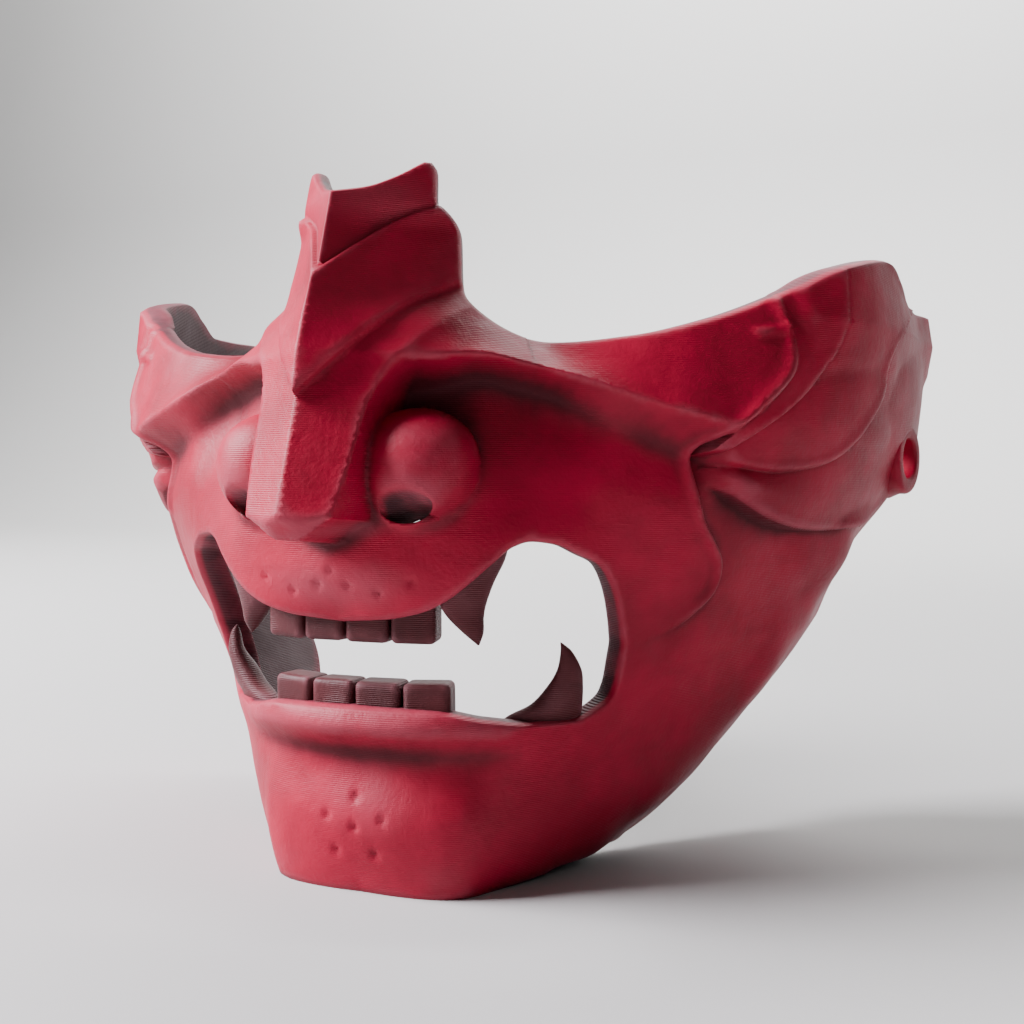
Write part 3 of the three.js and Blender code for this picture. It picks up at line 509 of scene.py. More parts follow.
class Face:
    """The mask's outer surface as a radius over the chart, with a foot folded under the chin."""

    foot_round = 2.4
    foot_flat = 0.45
    corner_spread = 9.0

    def __init__(self) -> None:
        """Make the parts that lie on the face."""
        self.nose, self.nostril, self.panel = Nose(), Nostril(), CheekPanel()
        self.band, self.leaves = BridgeBand(), LeafFan()

    def plain(self, phi: np.ndarray, z: np.ndarray) -> np.ndarray:
        """Return the radius of the bare face."""
        heights = np.stack([rail.height(phi) for rail in CHIN_TO_BROW])
        radii = np.stack([rail.radius(phi) for rail in CHIN_TO_BROW])
        below = monotone(z, heights, radii)
        top = BROW_TOP.radius(phi) - radii[-1]
        above = radii[-1] + (z - heights[-1]) * top / (BROW_TOP.height(phi) - heights[-1])
        return np.where(z >= heights[-1], above, below)

    def skin(self, phi: np.ndarray, z: np.ndarray) -> np.ndarray:
        """Return the shell's radius, without band or leaves."""
        phi = np.abs(phi)
        radius = self.plain(phi, z)
        behind = phi > 45
        radius[behind] += self.panel.relief(phi[behind], z[behind])
        front = phi < 32
        f, h = phi[front], z[front]
        wing = self.nostril.radius(f, radius[front], h)
        softness = 1.8 + 3.2 * smoothstep(h, 69, 77)
        radius[front] = soft_max(radius[front], wing, softness)
        blend = 1.1 + 4.3 * smoothstep(h, 80, 88) * (1 - 0.5 * smoothstep(h, 92, 99))
        radius[front] = soft_max(radius[front], self.nose.radius(f, h), blend)
        return radius

    def outer(self, phi: np.ndarray, z: np.ndarray) -> np.ndarray:
        """Return the radius of the finished outer surface."""
        skin = self.skin(phi, z)
        return self.leaves.lift(phi, z, skin) + self.band.relief(phi, z) + dimples(phi, z)

    def inset(self, phi: np.ndarray, z: np.ndarray, depth: np.ndarray) -> np.ndarray:
        """Return the inner wall's radius: the skin moved in by a ball of the wall's thickness."""
        radius = np.full(len(phi), np.inf)
        for i in range(-2, 3):
            for j in range(-2, 3):
                across, along = i / 2.9 * depth, j / 2.9 * depth
                reach = np.sqrt(depth ** 2 - across ** 2 - along ** 2)
                radius = np.minimum(radius, self.skin(phi + across / DEGREE, z + along) - reach)
        return radius

    def place(self, chart: np.ndarray, depth: np.ndarray | None = None) -> np.ndarray:
        """Turn chart points into points in space.

        Args:
            chart: (u, height) rows; below the jaw's edge a height runs inwards under the chin.
            depth: the wall's thickness at each point for the inner surface, None for the outer.

        Returns:
            (x, y, z) rows in mm about the head's axis.
        """
        phi, height = chart[:, 0] / DEGREE, chart[:, 1]
        edge = JAW_EDGE.height(phi)
        footing = 1 - smoothstep(phi, 58, 74)
        above = height - edge
        rise = (above + np.hypot(above, self.foot_round)) / 2
        inward = (rise - above) * footing
        corner = 0.5 * self.foot_round * np.exp(-np.abs(above) / self.foot_round)
        low = edge / (1 + (inward / 7) ** 2) + rise - corner
        low = np.maximum(low - self.foot_flat * (1 - smoothstep(low, self.foot_flat, 4 * self.foot_flat)), 0)
        z = height + (low - height) * footing
        level = np.maximum(z, edge)
        if depth is None:
            radius = self.outer(phi, level) - inward
        else:
            skin = self.skin(phi, level)
            wall = skin - self.inset(phi, np.maximum(level, edge + 2), depth)
            radius = skin - inward - wall * np.clip(1 - inward / self.corner_spread, 0, 1)
            z = z + depth * footing * np.clip(1 - rise / self.corner_spread, 0, 1)
        angle = np.radians(phi)
        return np.stack([radius * np.sin(angle), -radius * np.cos(angle), z], axis=1)


# Small pits pressed into chin and upper lip: (phi, z, radius of the pit).
PITS = (
    (0, 16.2, 0.75), (0, 11.3, 0.75), (5.5, 12.9, 0.7), (-5.5, 12.9, 0.7), (3.9, 7.1, 0.7),
    (-3.9, 7.1, 0.7), (2.6, 51.6, 0.55), (-2.6, 51.6, 0.55), (7.4, 50.6, 0.5), (-7.4, 50.6, 0.5),
    (0, 54, 0.5), (12.6, 52.4, 0.5), (-12.6, 52.4, 0.5),
)


def dimples(phi: np.ndarray, z: np.ndarray) -> np.ndarray:
    """Return the small pits of the chin and upper lip, as a change of radius."""
    total = np.zeros(len(phi))
    for pit_phi, pit_z, size in PITS:
        if pit_phi >= 0:
            total -= 0.62 * bell(np.hypot((phi - pit_phi) * 0.95, z - pit_z), size)
    return total


# ------------------------------------------------------------------ the chart and its mesh

# The mouth's edge and the shell's outer edge, as (phi, height) from the nose round to the chin.
MOUTH_EDGE = (
    (0, 46), (9, 46.8), (11, 47.2), (14, 48), (17.3, 49.6), (20.9, 52.3), (24.5, 55.4),
    (28, 58.2), (31, 59), (35, 58.5), (39, 56.8), (42.7, 55.1), (46.6, 50.2), (48.3, 47),
    (50, 43), (50.9, 39.8), (50.9, 35), (50, 31.8), (46.5, 29.6), (41, 28), (32.4, 28),
    (24, 29), (15, 30.6), (0, 31))
OUTER_EDGE = (
    (0, 113), (4, 114.2), (8, 116.4), (12.6, 119.3), (13.6, 118.2), (14, 112.6), (15.2, 111.9),
    (18.2, 108.4), (19, 99), (25, 93.6), (32.5, 90.8), (40, 90), (50, 91), (62, 94.2),
    (72.5, 99), (79.7, 103.6), (92.8, 107), (98, 104.2), (103, 100.8), (109, 100.6),
    (115.4, 101), (115, 76), (114.2, 62), (113.8, 50), (113.6, 38), (112.4, 28), (107.6, 21),
    (100, 16.2), (90, 10.6), (80, 6.6), (68, 2.4), (57, -4), (44, -14), (25, -28), (0, -34))


def to_chart(points: np.ndarray) -> np.ndarray:
    """Turn (phi, z) rows into chart millimetres."""
    return np.asarray(points, float)[:, :2] * (DEGREE, 1.0)


def edge_line(knots: Knots) -> np.ndarray:
    """Return a smooth chart polyline through an edge's knots, monotone in each coordinate."""
    table = np.array(knots, float)
    index = np.arange(len(table), dtype=float)
    fine = np.linspace(0, len(table) - 1, 40 * (len(table) - 1) + 1)
    columns = [Curve(np.stack([index, table[:, k]], axis=1))(fine) for k in (0, 1)]
    return to_chart(np.stack(columns, axis=1))


@dataclass
class Sheet:
    """A triangulated chart: its points in space, triangles and named border loops."""

    points: np.ndarray
    triangles: np.ndarray
    chart: np.ndarray
    loops: dict[str, np.ndarray]


def triangulate(chart: np.ndarray, borders: Sequence[np.ndarray], creases: Sequence[np.ndarray],
                inside: Callable[[np.ndarray], np.ndarray]) -> tuple[np.ndarray, np.ndarray]:
    """Triangulate chart points with borders and creases kept as edges.

    Args:
        chart: all points.
        borders: index loops that bound the sheet.
        creases: index chains that edges follow.
        inside: says which points lie on the sheet.

    Returns:
        The chart points, which may have grown where creases cross, and the triangles.
    """
    edges = []
    for loop in borders:
        edges += list(zip(loop.tolist(), np.roll(loop, -1).tolist()))
    for chain in creases:
        edges += list(zip(chain[:-1].tolist(), chain[1:].tolist()))
    vectors = [Vector(p) for p in chart.tolist()]
    found, _, faces, origins, *_ = delaunay_2d_cdt(vectors, edges, [], 0, 1e-5, True)
    flat = np.array([v[:] for v in found])
    triangles = np.array([f for f in faces if len(f) == 3])
    # put the given points back at their own numbers, with any new ones after them
    number = np.full(len(flat), -1)
    extra = len(chart)
    for i, sources in enumerate(origins):
        if sources:
            number[i] = min(sources)
        else:
            number[i] = extra
            extra += 1
    grown = np.zeros((extra, 2))
    grown[:len(chart)] = chart
    grown[number] = flat
    grown[:len(chart)] = chart
    triangles = number[triangles]
    middle = grown[triangles].mean(axis=1)
    return grown, triangles[inside(middle)]


@dataclass
class SheetMaker:
    """Makes one surface of the shell's right half, even in space and sharp along its creases."""

    face: Face
    spacing: float
    border_spacing: float = 0.75
    crease_spacing: float = 0.8
    crease_gap: float = 0.5
    longest: float = 1.45
    rounds: int = 4

    def borders(self) -> tuple[np.ndarray, np.ndarray]:
        """Return the chart points of the mouth's edge and of the outer edge."""
        made = []
        for knots in (MOUTH_EDGE, OUTER_EDGE):
            line = edge_line(knots)
            lengths = np.linalg.norm(np.diff(self.face.place(line), axis=0), axis=1)
            made.append(resample(line, self.border_spacing, lengths))
        return made[0], made[1]

    def hole(self, centre: tuple[float, float], place: Callable[[np.ndarray], np.ndarray],
             size: Callable[[np.ndarray], np.ndarray], count: int) -> np.ndarray:
        """Find a hole's outline in the chart, by the points where size reaches 1."""
        angle = np.linspace(0, 2 * math.pi, count, endpoint=False)
        way = np.stack([np.cos(angle), np.sin(angle)], axis=1)
        middle = to_chart(np.array([centre]))
        low, high = np.zeros(count), np.full(count, 12.0)
        for _ in range(26):
            mid = (low + high) / 2
            out = size(place(middle + way * mid[:, None])) > 1
            low, high = np.where(out, low, mid), np.where(out, mid, high)
        return middle + way * low[:, None]

    def make(self, place: Callable[[np.ndarray], np.ndarray], creases: Sequence[np.ndarray],
             holes: dict[str, np.ndarray]) -> Sheet:
        """Triangulate the right half.

        Args:
            place: turns chart points into points in space.
            creases: chart polylines that edges follow.
            holes: chart outlines to leave open.

        Returns:
            The sheet, with its borders listed from the nose round to the chin.
        """
        mouth, outer = self.borders()
        gap = self.spacing
        upper = resample(np.array([outer[0], mouth[0]]), gap * 0.9)[1:-1]
        lower = resample(np.array([mouth[-1], outer[-1]]), gap * 0.9)[1:-1]
        ring = np.concatenate([mouth, lower, outer[::-1], upper])
        chart, loops, borders = [ring], {}, [np.arange(len(ring))]
        loops["mouth"] = np.arange(len(mouth))
        start = len(mouth) + len(lower)
        loops["outer"] = np.arange(start, start + len(outer))[::-1]
        count = len(ring)
        for name, outline in holes.items():
            loops[name] = np.arange(count, count + len(outline))
            borders.append(loops[name])
            chart.append(outline)
            count += len(outline)
        polygons = [ring] + list(holes.values())

        def inside(points: np.ndarray) -> np.ndarray:
            """Say which points lie on the sheet."""
            on = inside_polygon(points, polygons[0])
            for polygon in polygons[1:]:
                on &= ~inside_polygon(points, polygon)
            return on

        chains = []
        fixed = np.concatenate(chart)
        for line in creases:
            line = resample(line, self.crease_spacing)
            clear = inside(line) & (nearest_gap(line, fixed) > self.crease_gap)
            for run in np.split(np.arange(len(line)), np.flatnonzero(np.diff(clear.astype(int))) + 1):
                if clear[run[0]] and len(run) > 1:
                    chains.append(np.arange(count, count + len(run)))
                    chart.append(line[run])
                    count += len(run)
        lattice = self.lattice(ring.min(axis=0), ring.max(axis=0))
        lattice = lattice[inside(lattice)]
        fixed = np.concatenate(chart)
        lattice = lattice[nearest_gap(lattice, fixed) > gap * 0.55]
        points = np.concatenate([fixed, lattice])
        border_count = sum(len(b) for b in borders)
        for _ in range(self.rounds):
            points, triangles = triangulate(points, borders, chains, inside)
            space = place(points)
            more = self.long_edges(points, space, triangles, border_count)
            if not len(more):
                break
            points = np.concatenate([points, more])
        points, triangles = triangulate(points, borders, chains, inside)
        return Sheet(place(points), triangles, points, loops)

    def lattice(self, low: np.ndarray, high: np.ndarray) -> np.ndarray:
        """Return a triangular lattice of chart points between two corners."""
        gap = self.spacing
        rows = []
        for i, v in enumerate(np.arange(low[1], high[1], gap * math.sqrt(3) / 2)):
            across = np.arange(low[0] + (i % 2) * gap / 2, high[0], gap)
            rows.append(np.stack([across, np.full(len(across), v)], axis=1))
        return np.concatenate(rows)

    def long_edges(self, chart: np.ndarray, space: np.ndarray, triangles: np.ndarray,
                   border_count: int) -> np.ndarray:
        """Return the middles of edges that are too long in space, one for each triangle."""
        sides = np.stack([triangles, np.roll(triangles, -1, axis=1)], axis=2)
        lengths = np.linalg.norm(space[sides[..., 0]] - space[sides[..., 1]], axis=2)
        longest = lengths.argmax(axis=1)
        rows = np.arange(len(triangles))
        pick = lengths[rows, longest] > self.longest * self.spacing
        pairs = np.unique(np.sort(sides[rows, longest][pick], axis=1), axis=0)
        pairs = pairs[(pairs >= border_count).any(axis=1)]
        return chart[pairs].mean(axis=1)


def nearest_gap(points: np.ndarray, others: np.ndarray) -> np.ndarray:
    """Return each point's distance to the nearest of the others."""
    best = np.full(len(points), np.inf)
    for start in range(0, len(points), 1500):
        part = slice(start, start + 1500)
        gap = ((points[part, None, :] - others[None]) ** 2).sum(axis=2)
        best[part] = np.sqrt(gap.min(axis=1))
    return best


def rim_strip(top: np.ndarray, bottom: np.ndarray, inner: np.ndarray, closed: bool, bulge: float,
              rows: Sequence[float]) -> np.ndarray:
    """Round a rim between two borders.

    Args:
        top: the outer surface's border.
        bottom: the inner surface's border, point for point.
        inner: a point of the surface beside each border point, on the material's side.
        closed: whether the border closes on itself.
        bulge: how far the rim stands out, in mm.
        rows: positions across the rim, between 0 and 1.

    Returns:
        The rim's rows of points, without the two borders.
    """
    if closed:
        along = np.roll(top, -1, axis=0) - np.roll(top, 1, axis=0)
    else:
        along = np.gradient(top, axis=0)
    through = bottom - top
    out = np.cross(along, through)
    out /= np.linalg.norm(out, axis=1)[:, None]
    out *= np.sign(((top - inner) * out).sum(axis=1))[:, None]
    made = []
    for w in rows:
        swell = bulge * (1 - abs(2 * w - 1) ** 3.2)
        made.append(top + through * w + out * swell)
    return np.array(made)


class MeshStore:
    """Collects points and faces, and turns them into one Blender object."""

    def __init__(self) -> None:
        """Start empty."""
        self.points: list[np.ndarray] = []
        self.faces: list[np.ndarray] = []
        self.count = 0

    def add(self, points: np.ndarray) -> int:
        """Add points and return the number of the first."""
        self.points.append(points)
        self.count += len(points)
        return self.count - len(points)

    def strip(self, lines: Sequence[np.ndarray], closed: bool) -> None:
        """Join neighbouring index lines with quads cut in two."""
        for a, b in zip(lines[:-1], lines[1:]):
            if closed:
                a, b = np.append(a, a[0]), np.append(b, b[0])
            self.faces.append(np.stack([a[:-1], a[1:], b[1:]], axis=1))
            self.faces.append(np.stack([a[:-1], b[1:], b[:-1]], axis=1))

    def arrays(self) -> tuple[np.ndarray, np.ndarray]:
        """Return all points and all triangles."""
        return np.concatenate(self.points), np.concatenate(self.faces)


def weld(points: np.ndarray, faces: np.ndarray) -> tuple[np.ndarray, np.ndarray]:
    """Merge points that coincide to a thousandth of a millimetre."""
    keys = np.round(points * 1000).astype(np.int64)
    _, first, number = np.unique(keys, axis=0, return_index=True, return_inverse=True)
    faces = number.ravel()[faces]
    proper = (faces[:, 0] != faces[:, 1]) & (faces[:, 1] != faces[:, 2]) & (faces[:, 0] != faces[:, 2])
    return points[first], faces[proper]


def outward(points: np.ndarray, faces: np.ndarray) -> np.ndarray:
    """Turn a closed mesh's faces so that they look outwards."""
    a, b, c = (points[faces[:, k]] for k in range(3))
    volume = (a * np.cross(b, c)).sum()
    return faces if volume > 0 else faces[:, ::-1]


def make_object(name: str, points: np.ndarray, faces: np.ndarray, smooth: bool = True) -> bpy.types.Object:
    """Make a mesh object at the origin from millimetres about the head's axis."""
    mesh = bpy.data.meshes.new(name)
    metres = (points + (0, AXIS_Y, 0)) * MM
    mesh.from_pydata(metres.tolist(), [], faces.tolist())
    mesh.validate()
    mesh.shade_smooth() if smooth else mesh.shade_flat()
    piece = bpy.data.objects.new(name, mesh)
    bpy.context.scene.collection.objects.link(piece)
    return piece


# ------------------------------------------------------------------ the mask's body

@dataclass
class MaskBody:
    """The printed shell with its panel, leaves and bridge band, as one closed wall."""

    spacing: float = 0.78
    inner_spacing: float = 1.7
    wall: float = 3.5
    rim_wall: float = 5.2
    rim_bulge: float = 0.6
    boss_cut: float = 5.4
    face: Face = field(default_factory=Face)
    mouth_line: np.ndarray = field(default_factory=lambda: edge_line(MOUTH_EDGE)[::8])

    def depth(self, chart: np.ndarray) -> np.ndarray:
        """Return the wall's thickness, which grows towards the mouth."""
        near, _ = distance_to_line(chart, self.mouth_line)
        return self.rim_wall + (self.wall - self.rim_wall) * np.clip(near / 9, 0, 1)

    def inner_place(self, chart: np.ndarray) -> np.ndarray:
        """Place chart points on the inner wall."""
        return self.face.place(chart, self.depth(chart))

    def creases(self) -> list[np.ndarray]:
        """Return every line that the outer surface's edges follow."""
        phis = np.linspace(19, 57, 60)
        brow = to_chart(np.stack([phis, BROW_CREST.height(phis)], axis=1))
        panel = self.face.panel.line()
        step = np.gradient(panel, axis=0)
        across = np.stack([step[:, 1], -step[:, 0]], axis=1)
        across /= np.linalg.norm(across, axis=1)[:, None]
        foot = panel - across * self.face.panel.step_width * 1.02
        bead = panel + across * 0.9
        foot = foot[self.face.panel.outside(foot[:, 0] / DEGREE, foot[:, 1]) > 0.8]
        band = [self.face.band.outline(grow) for grow in (-0.22, 0.22)]
        heights = np.linspace(61.5, 81, 40)
        nose = [to_chart(np.stack([self.face.nose.edge(heights) + beyond, heights], axis=1))
                for beyond in (0, 1.4)]
        return [brow, panel, bead, foot, *nose, *band, *self.face.leaves.creases()]

    def holes(self, maker: SheetMaker, place: Callable[[np.ndarray], np.ndarray],
              inner: bool) -> dict[str, np.ndarray]:
        """Return the chart outlines of the nostril and of the hole behind the boss."""
        nostril = self.face.nostril
        middle = (18.0, nostril.hole_z + nostril.tunnel[1]) if inner else (13.2, nostril.hole_z)
        return {
            "nostril": maker.hole(middle, place, lambda points: nostril.hole(points, inner), 40),
            "boss": maker.hole((107.0, 72.0), place, TieBoss().distance(self.boss_cut), 36),
        }

    def half(self) -> tuple[np.ndarray, np.ndarray]:
        """Make the right half, open along the middle plane."""
        outer_maker = SheetMaker(self.face, self.spacing)
        inner_maker = SheetMaker(self.face, self.inner_spacing, rounds=2)
        outer = outer_maker.make(self.face.place, self.creases(),
                                 self.holes(outer_maker, self.face.place, False))
        inner = inner_maker.make(self.inner_place, [], self.holes(inner_maker, self.inner_place, True))
        LOG.info("half shell: %d outer and %d inner triangles", len(outer.triangles), len(inner.triangles))
        store = MeshStore()
        first_outer, first_inner = store.add(outer.points), store.add(inner.points)
        store.faces.append(outer.triangles + first_outer)
        store.faces.append(inner.triangles[:, ::-1] + first_inner)
        for name in ("mouth", "outer", "nostril", "boss"):
            closed = name in ("nostril", "boss")
            top, bottom = outer.loops[name], inner.loops[name]
            beside = self.beside(outer, top)
            bulge = 0.0 if closed else self.rim_bulge
            rows = (0.06, 0.16, 0.3, 0.5, 0.7, 0.84, 0.94) if not closed else (0.33, 0.66)
            strip = rim_strip(outer.points[top], inner.points[bottom], beside, closed, bulge, rows)
            if not closed:
                strip[:, [0, -1], 0] = 0
            lines = [top + first_outer]
            for row in strip:
                start = store.add(row)
                lines.append(np.arange(start, start + len(row)))
            lines.append(bottom + first_inner)
            store.strip(lines, closed)
        return store.arrays()

    def innerness(self, piece: bpy.types.Object) -> np.ndarray:
        """Return how far each vertex lies behind the outer surface, from 0 to 1."""
        points, _, _ = read_mesh(piece)
        phi = np.degrees(np.arctan2(np.abs(points[:, 0]), -points[:, 1]))
        level = np.maximum(points[:, 2], JAW_EDGE.height(phi))
        behind = self.face.outer(phi, level) - np.hypot(points[:, 0], points[:, 1])
        return smoothstep(behind, 0.3, 2.4)

    def tunnel(self, piece: bpy.types.Object) -> np.ndarray:
        """Return 1 on the walls of the two nostril holes, 0 elsewhere: where shade is painted into the holes.
        """
        points, _, _ = read_mesh(piece)
        points = np.abs(points) * (1, -1, 1) * (points[:, 1:2] < 0)
        near = np.minimum(self.face.nostril.hole(points, False), self.face.nostril.hole(points, True))
        return smoothstep(-near, -1.22, -1.04) * self.innerness(piece)

    @staticmethod
    def beside(sheet: Sheet, loop: np.ndarray) -> np.ndarray:
        """Return, for each border point, the middle of its neighbours away from the border."""
        total = np.zeros((len(sheet.points), 3))
        count = np.zeros(len(sheet.points))
        for a, b in ((0, 1), (1, 2), (2, 0), (1, 0), (2, 1), (0, 2)):
            np.add.at(total, sheet.triangles[:, a], sheet.points[sheet.triangles[:, b]])
            np.add.at(count, sheet.triangles[:, a], 1)
        return total[loop] / count[loop][:, None]

    def build(self) -> tuple[np.ndarray, np.ndarray]:
        """Make both halves and weld them along the middle plane."""
        points, faces = self.half()
        mirrored = points * (-1, 1, 1)
        both = np.concatenate([points, mirrored])
        faces = np.concatenate([faces, faces[:, ::-1] + len(points)])
        both, faces = weld(both, faces)
        return both, outward(both, faces)


# ------------------------------------------------------------------ bosses, teeth and fangs

@dataclass
class TieBoss:
    """The round boss behind the ear, with a hole for the tie cord."""

    centre: tuple[float, float, float] = (81.4, 25.0, 72.0)
    turn: float = 14.0
    radius: float = 7.0
    hole: float = 4.0
    length: float = 8.0
    edge: float = 1.1
    sides: int = 72

    def axis(self) -> np.ndarray:
        """Return the outward direction of the boss."""
        turn = math.radians(self.turn)
        return np.array([math.cos(turn), -math.sin(turn), 0.0])

    def distance(self, radius: float) -> Callable[[np.ndarray], np.ndarray]:
        """Return a measure that is 1 at a radius from the boss's axis."""
        def measure(points: np.ndarray) -> np.ndarray:
            """Return the distance from the axis over the radius."""
            offset = points - np.array(self.centre)
            along = offset @ self.axis()
            return np.linalg.norm(offset - along[:, None] * self.axis(), axis=1) / radius
        return measure

    def profile(self) -> np.ndarray:
        """Return the ring's closed section as (radius, along) rows."""
        rows: list[tuple[float, float]] = []
        for angle in np.linspace(0, math.pi / 2, 6):
            rows.append((self.radius - self.edge * (1 - math.cos(angle)), -self.edge * (1 - math.sin(angle))))
        inner = 0.6
        for angle in np.linspace(math.pi / 2, math.pi, 5):
            rows.append((self.hole + inner * (1 + math.cos(angle)), -inner * (1 - math.sin(angle))))
        rows += [(self.hole, -self.length / 2), (self.hole, -self.length + 0.3),
                 (self.hole + 0.3, -self.length), (self.radius - 0.5, -self.length),
                 (self.radius, -self.length + 0.5), (self.radius + 0.9, -4.2), (self.radius + 0.35, -3.0),
                 (self.radius, -2.2)]
        return np.array(rows)

    def build(self, side: int) -> tuple[np.ndarray, np.ndarray]:
        """Turn the section about the boss's axis, on one side of the head."""
        profile = self.profile()
        angles = np.linspace(0, 2 * math.pi, self.sides, endpoint=False)
        axis = self.axis()
        up = np.array([0, 0, 1.0])
        across = np.cross(up, axis)
        rings = [np.array(self.centre) + r * (np.cos(angles)[:, None] * across + np.sin(angles)[:, None] * up)
                 + along * axis for r, along in profile]
        store = MeshStore()
        lines = []
        for ring in rings:
            start = store.add(ring * (side, 1, 1))
            lines.append(np.arange(start, start + len(ring)))
        store.strip(lines + lines[:1], True)
        return store.arrays()


class Jaw(Enum):
    """The two rows of teeth."""

    UPPER = "upper"
    LOWER = "lower"


@dataclass
class ToothRow:
    """A row of block teeth that stand on an arc behind the lips."""

    jaw: Jaw
    pitch: float
    top: float
    bottom: float
    radius: float
    depth: float
    count: int = 4
    gap: float = 0.55
    corner: float = 1.0

    def tree(self, finish: bpy.types.Material) -> bpy.types.NodeTree:
        """Build the node tree that rounds one block and sets copies of it along the arc."""
        tree = bpy.data.node_groups.new(f"{self.jaw.value}_tooth_row", "GeometryNodeTree")
        sockets = {"Tooth Size": "NodeSocketVector", "Corner": "NodeSocketFloat",
                   "Count": "NodeSocketInt", "Pitch Angle": "NodeSocketFloat",
                   "Row Radius": "NodeSocketFloat", "Middle Height": "NodeSocketFloat",
                   "Unevenness": "NodeSocketFloat", "Seed": "NodeSocketInt"}
        for name, kind in sockets.items():
            tree.interface.new_socket(name, in_out="INPUT", socket_type=kind)
        tree.interface.new_socket("Geometry", in_out="OUTPUT", socket_type="NodeSocketGeometry")
        net = Net(tree)
        given = net.node("NodeGroupInput").outputs
        cube = net.node("GeometryNodeMeshCube")
        for name in ("Vertices X", "Vertices Y", "Vertices Z"):
            cube.inputs[name].default_value = 15
        net.link(given["Tooth Size"], cube.inputs["Size"])
        half = net.vector("SCALE", given["Tooth Size"], scale=0.5)
        corner = net.node("ShaderNodeCombineXYZ")
        for name in "XYZ":
            net.link(given["Corner"], corner.inputs[name])
        core = net.vector("SUBTRACT", half, corner.outputs[0])
        position = net.node("GeometryNodeInputPosition").outputs[0]
        low = net.vector("SCALE", core, scale=-1.0)
        inside = net.vector("MINIMUM", net.vector("MAXIMUM", position, low), core)
        away = net.vector("NORMALIZE", net.vector("SUBTRACT", position, inside))
        grown = net.node("ShaderNodeVectorMath", operation="SCALE")
        net.link(away, grown.inputs[0])
        net.link(given["Corner"], grown.inputs["Scale"])
        rounded = net.node("GeometryNodeSetPosition")
        net.link(cube.outputs["Mesh"], rounded.inputs["Geometry"])
        net.link(net.vector("ADD", inside, grown.outputs[0]), rounded.inputs["Position"])
        row = net.node("GeometryNodePoints")
        net.link(given["Count"], row.inputs["Count"])
        index = net.node("GeometryNodeInputIndex").outputs[0]
        last = net.maths("SUBTRACT", given["Count"], 1.0)
        step = net.maths("SUBTRACT", index, net.maths("MULTIPLY", last, 0.5))
        angle = net.maths("MULTIPLY", step, given["Pitch Angle"])
        place = net.node("ShaderNodeCombineXYZ")
        net.link(net.maths("MULTIPLY", net.maths("SINE", angle), given["Row Radius"]), place.inputs["X"])
        back = net.maths("MULTIPLY", net.maths("COSINE", angle), given["Row Radius"])
        net.link(net.maths("MULTIPLY", back, -1.0), place.inputs["Y"])
        net.link(given["Middle Height"], place.inputs["Z"])
        net.link(place.outputs[0], row.inputs["Position"])
        turn = net.node("ShaderNodeCombineXYZ")
        net.link(angle, turn.inputs["Z"])
        jitter = net.node("FunctionNodeRandomValue", data_type="FLOAT_VECTOR")
        jitter.inputs["Min"].default_value = (-1, -1, -1)
        net.link(given["Seed"], jitter.inputs["Seed"])
        wobble = net.node("ShaderNodeVectorMath", operation="SCALE")
        net.link(jitter.outputs[0], wobble.inputs[0])
        net.link(given["Unevenness"], wobble.inputs["Scale"])
        tilt = net.vector("ADD", turn.outputs[0], wobble.outputs[0])
        copies = net.node("GeometryNodeInstanceOnPoints")
        net.link(row.outputs[0], copies.inputs["Points"])
        net.link(rounded.outputs[0], copies.inputs["Instance"])
        net.link(tilt, copies.inputs["Rotation"])
        real = net.node("GeometryNodeRealizeInstances")
        net.link(copies.outputs[0], real.inputs[0])
        smooth = net.node("GeometryNodeSetShadeSmooth")
        net.link(real.outputs[0], smooth.inputs[0])
        dress = net.node("GeometryNodeSetMaterial")
        dress.inputs["Material"].default_value = finish
        net.link(smooth.outputs[0], dress.inputs["Geometry"])
        net.link(dress.outputs[0], net.node("NodeGroupOutput").inputs[0])
        return tree

    def build(self, finish: bpy.types.Material) -> bpy.types.Object:
        """Make the row as one plain mesh."""
        width = self.pitch - self.gap
        height = self.top - self.bottom
        values = {
            "Tooth Size": (width * MM, self.depth * MM, height * MM),
            "Corner": self.corner * MM,
            "Count": self.count,
            "Pitch Angle": self.pitch / self.radius,
            "Row Radius": (self.radius - self.depth / 2) * MM,
            "Middle Height": (self.top + self.bottom) / 2 * MM,
            "Unevenness": 0.022,
            "Seed": 4 if self.jaw is Jaw.UPPER else 9,
        }
        mesh = run_tree(self.tree(finish), values, f"{self.jaw.value}_teeth")
        for vertex in mesh.vertices:
            vertex.co.y += AXIS_Y * MM
        piece = bpy.data.objects.new(mesh.name, mesh)
        bpy.context.scene.collection.objects.link(piece)
        return piece


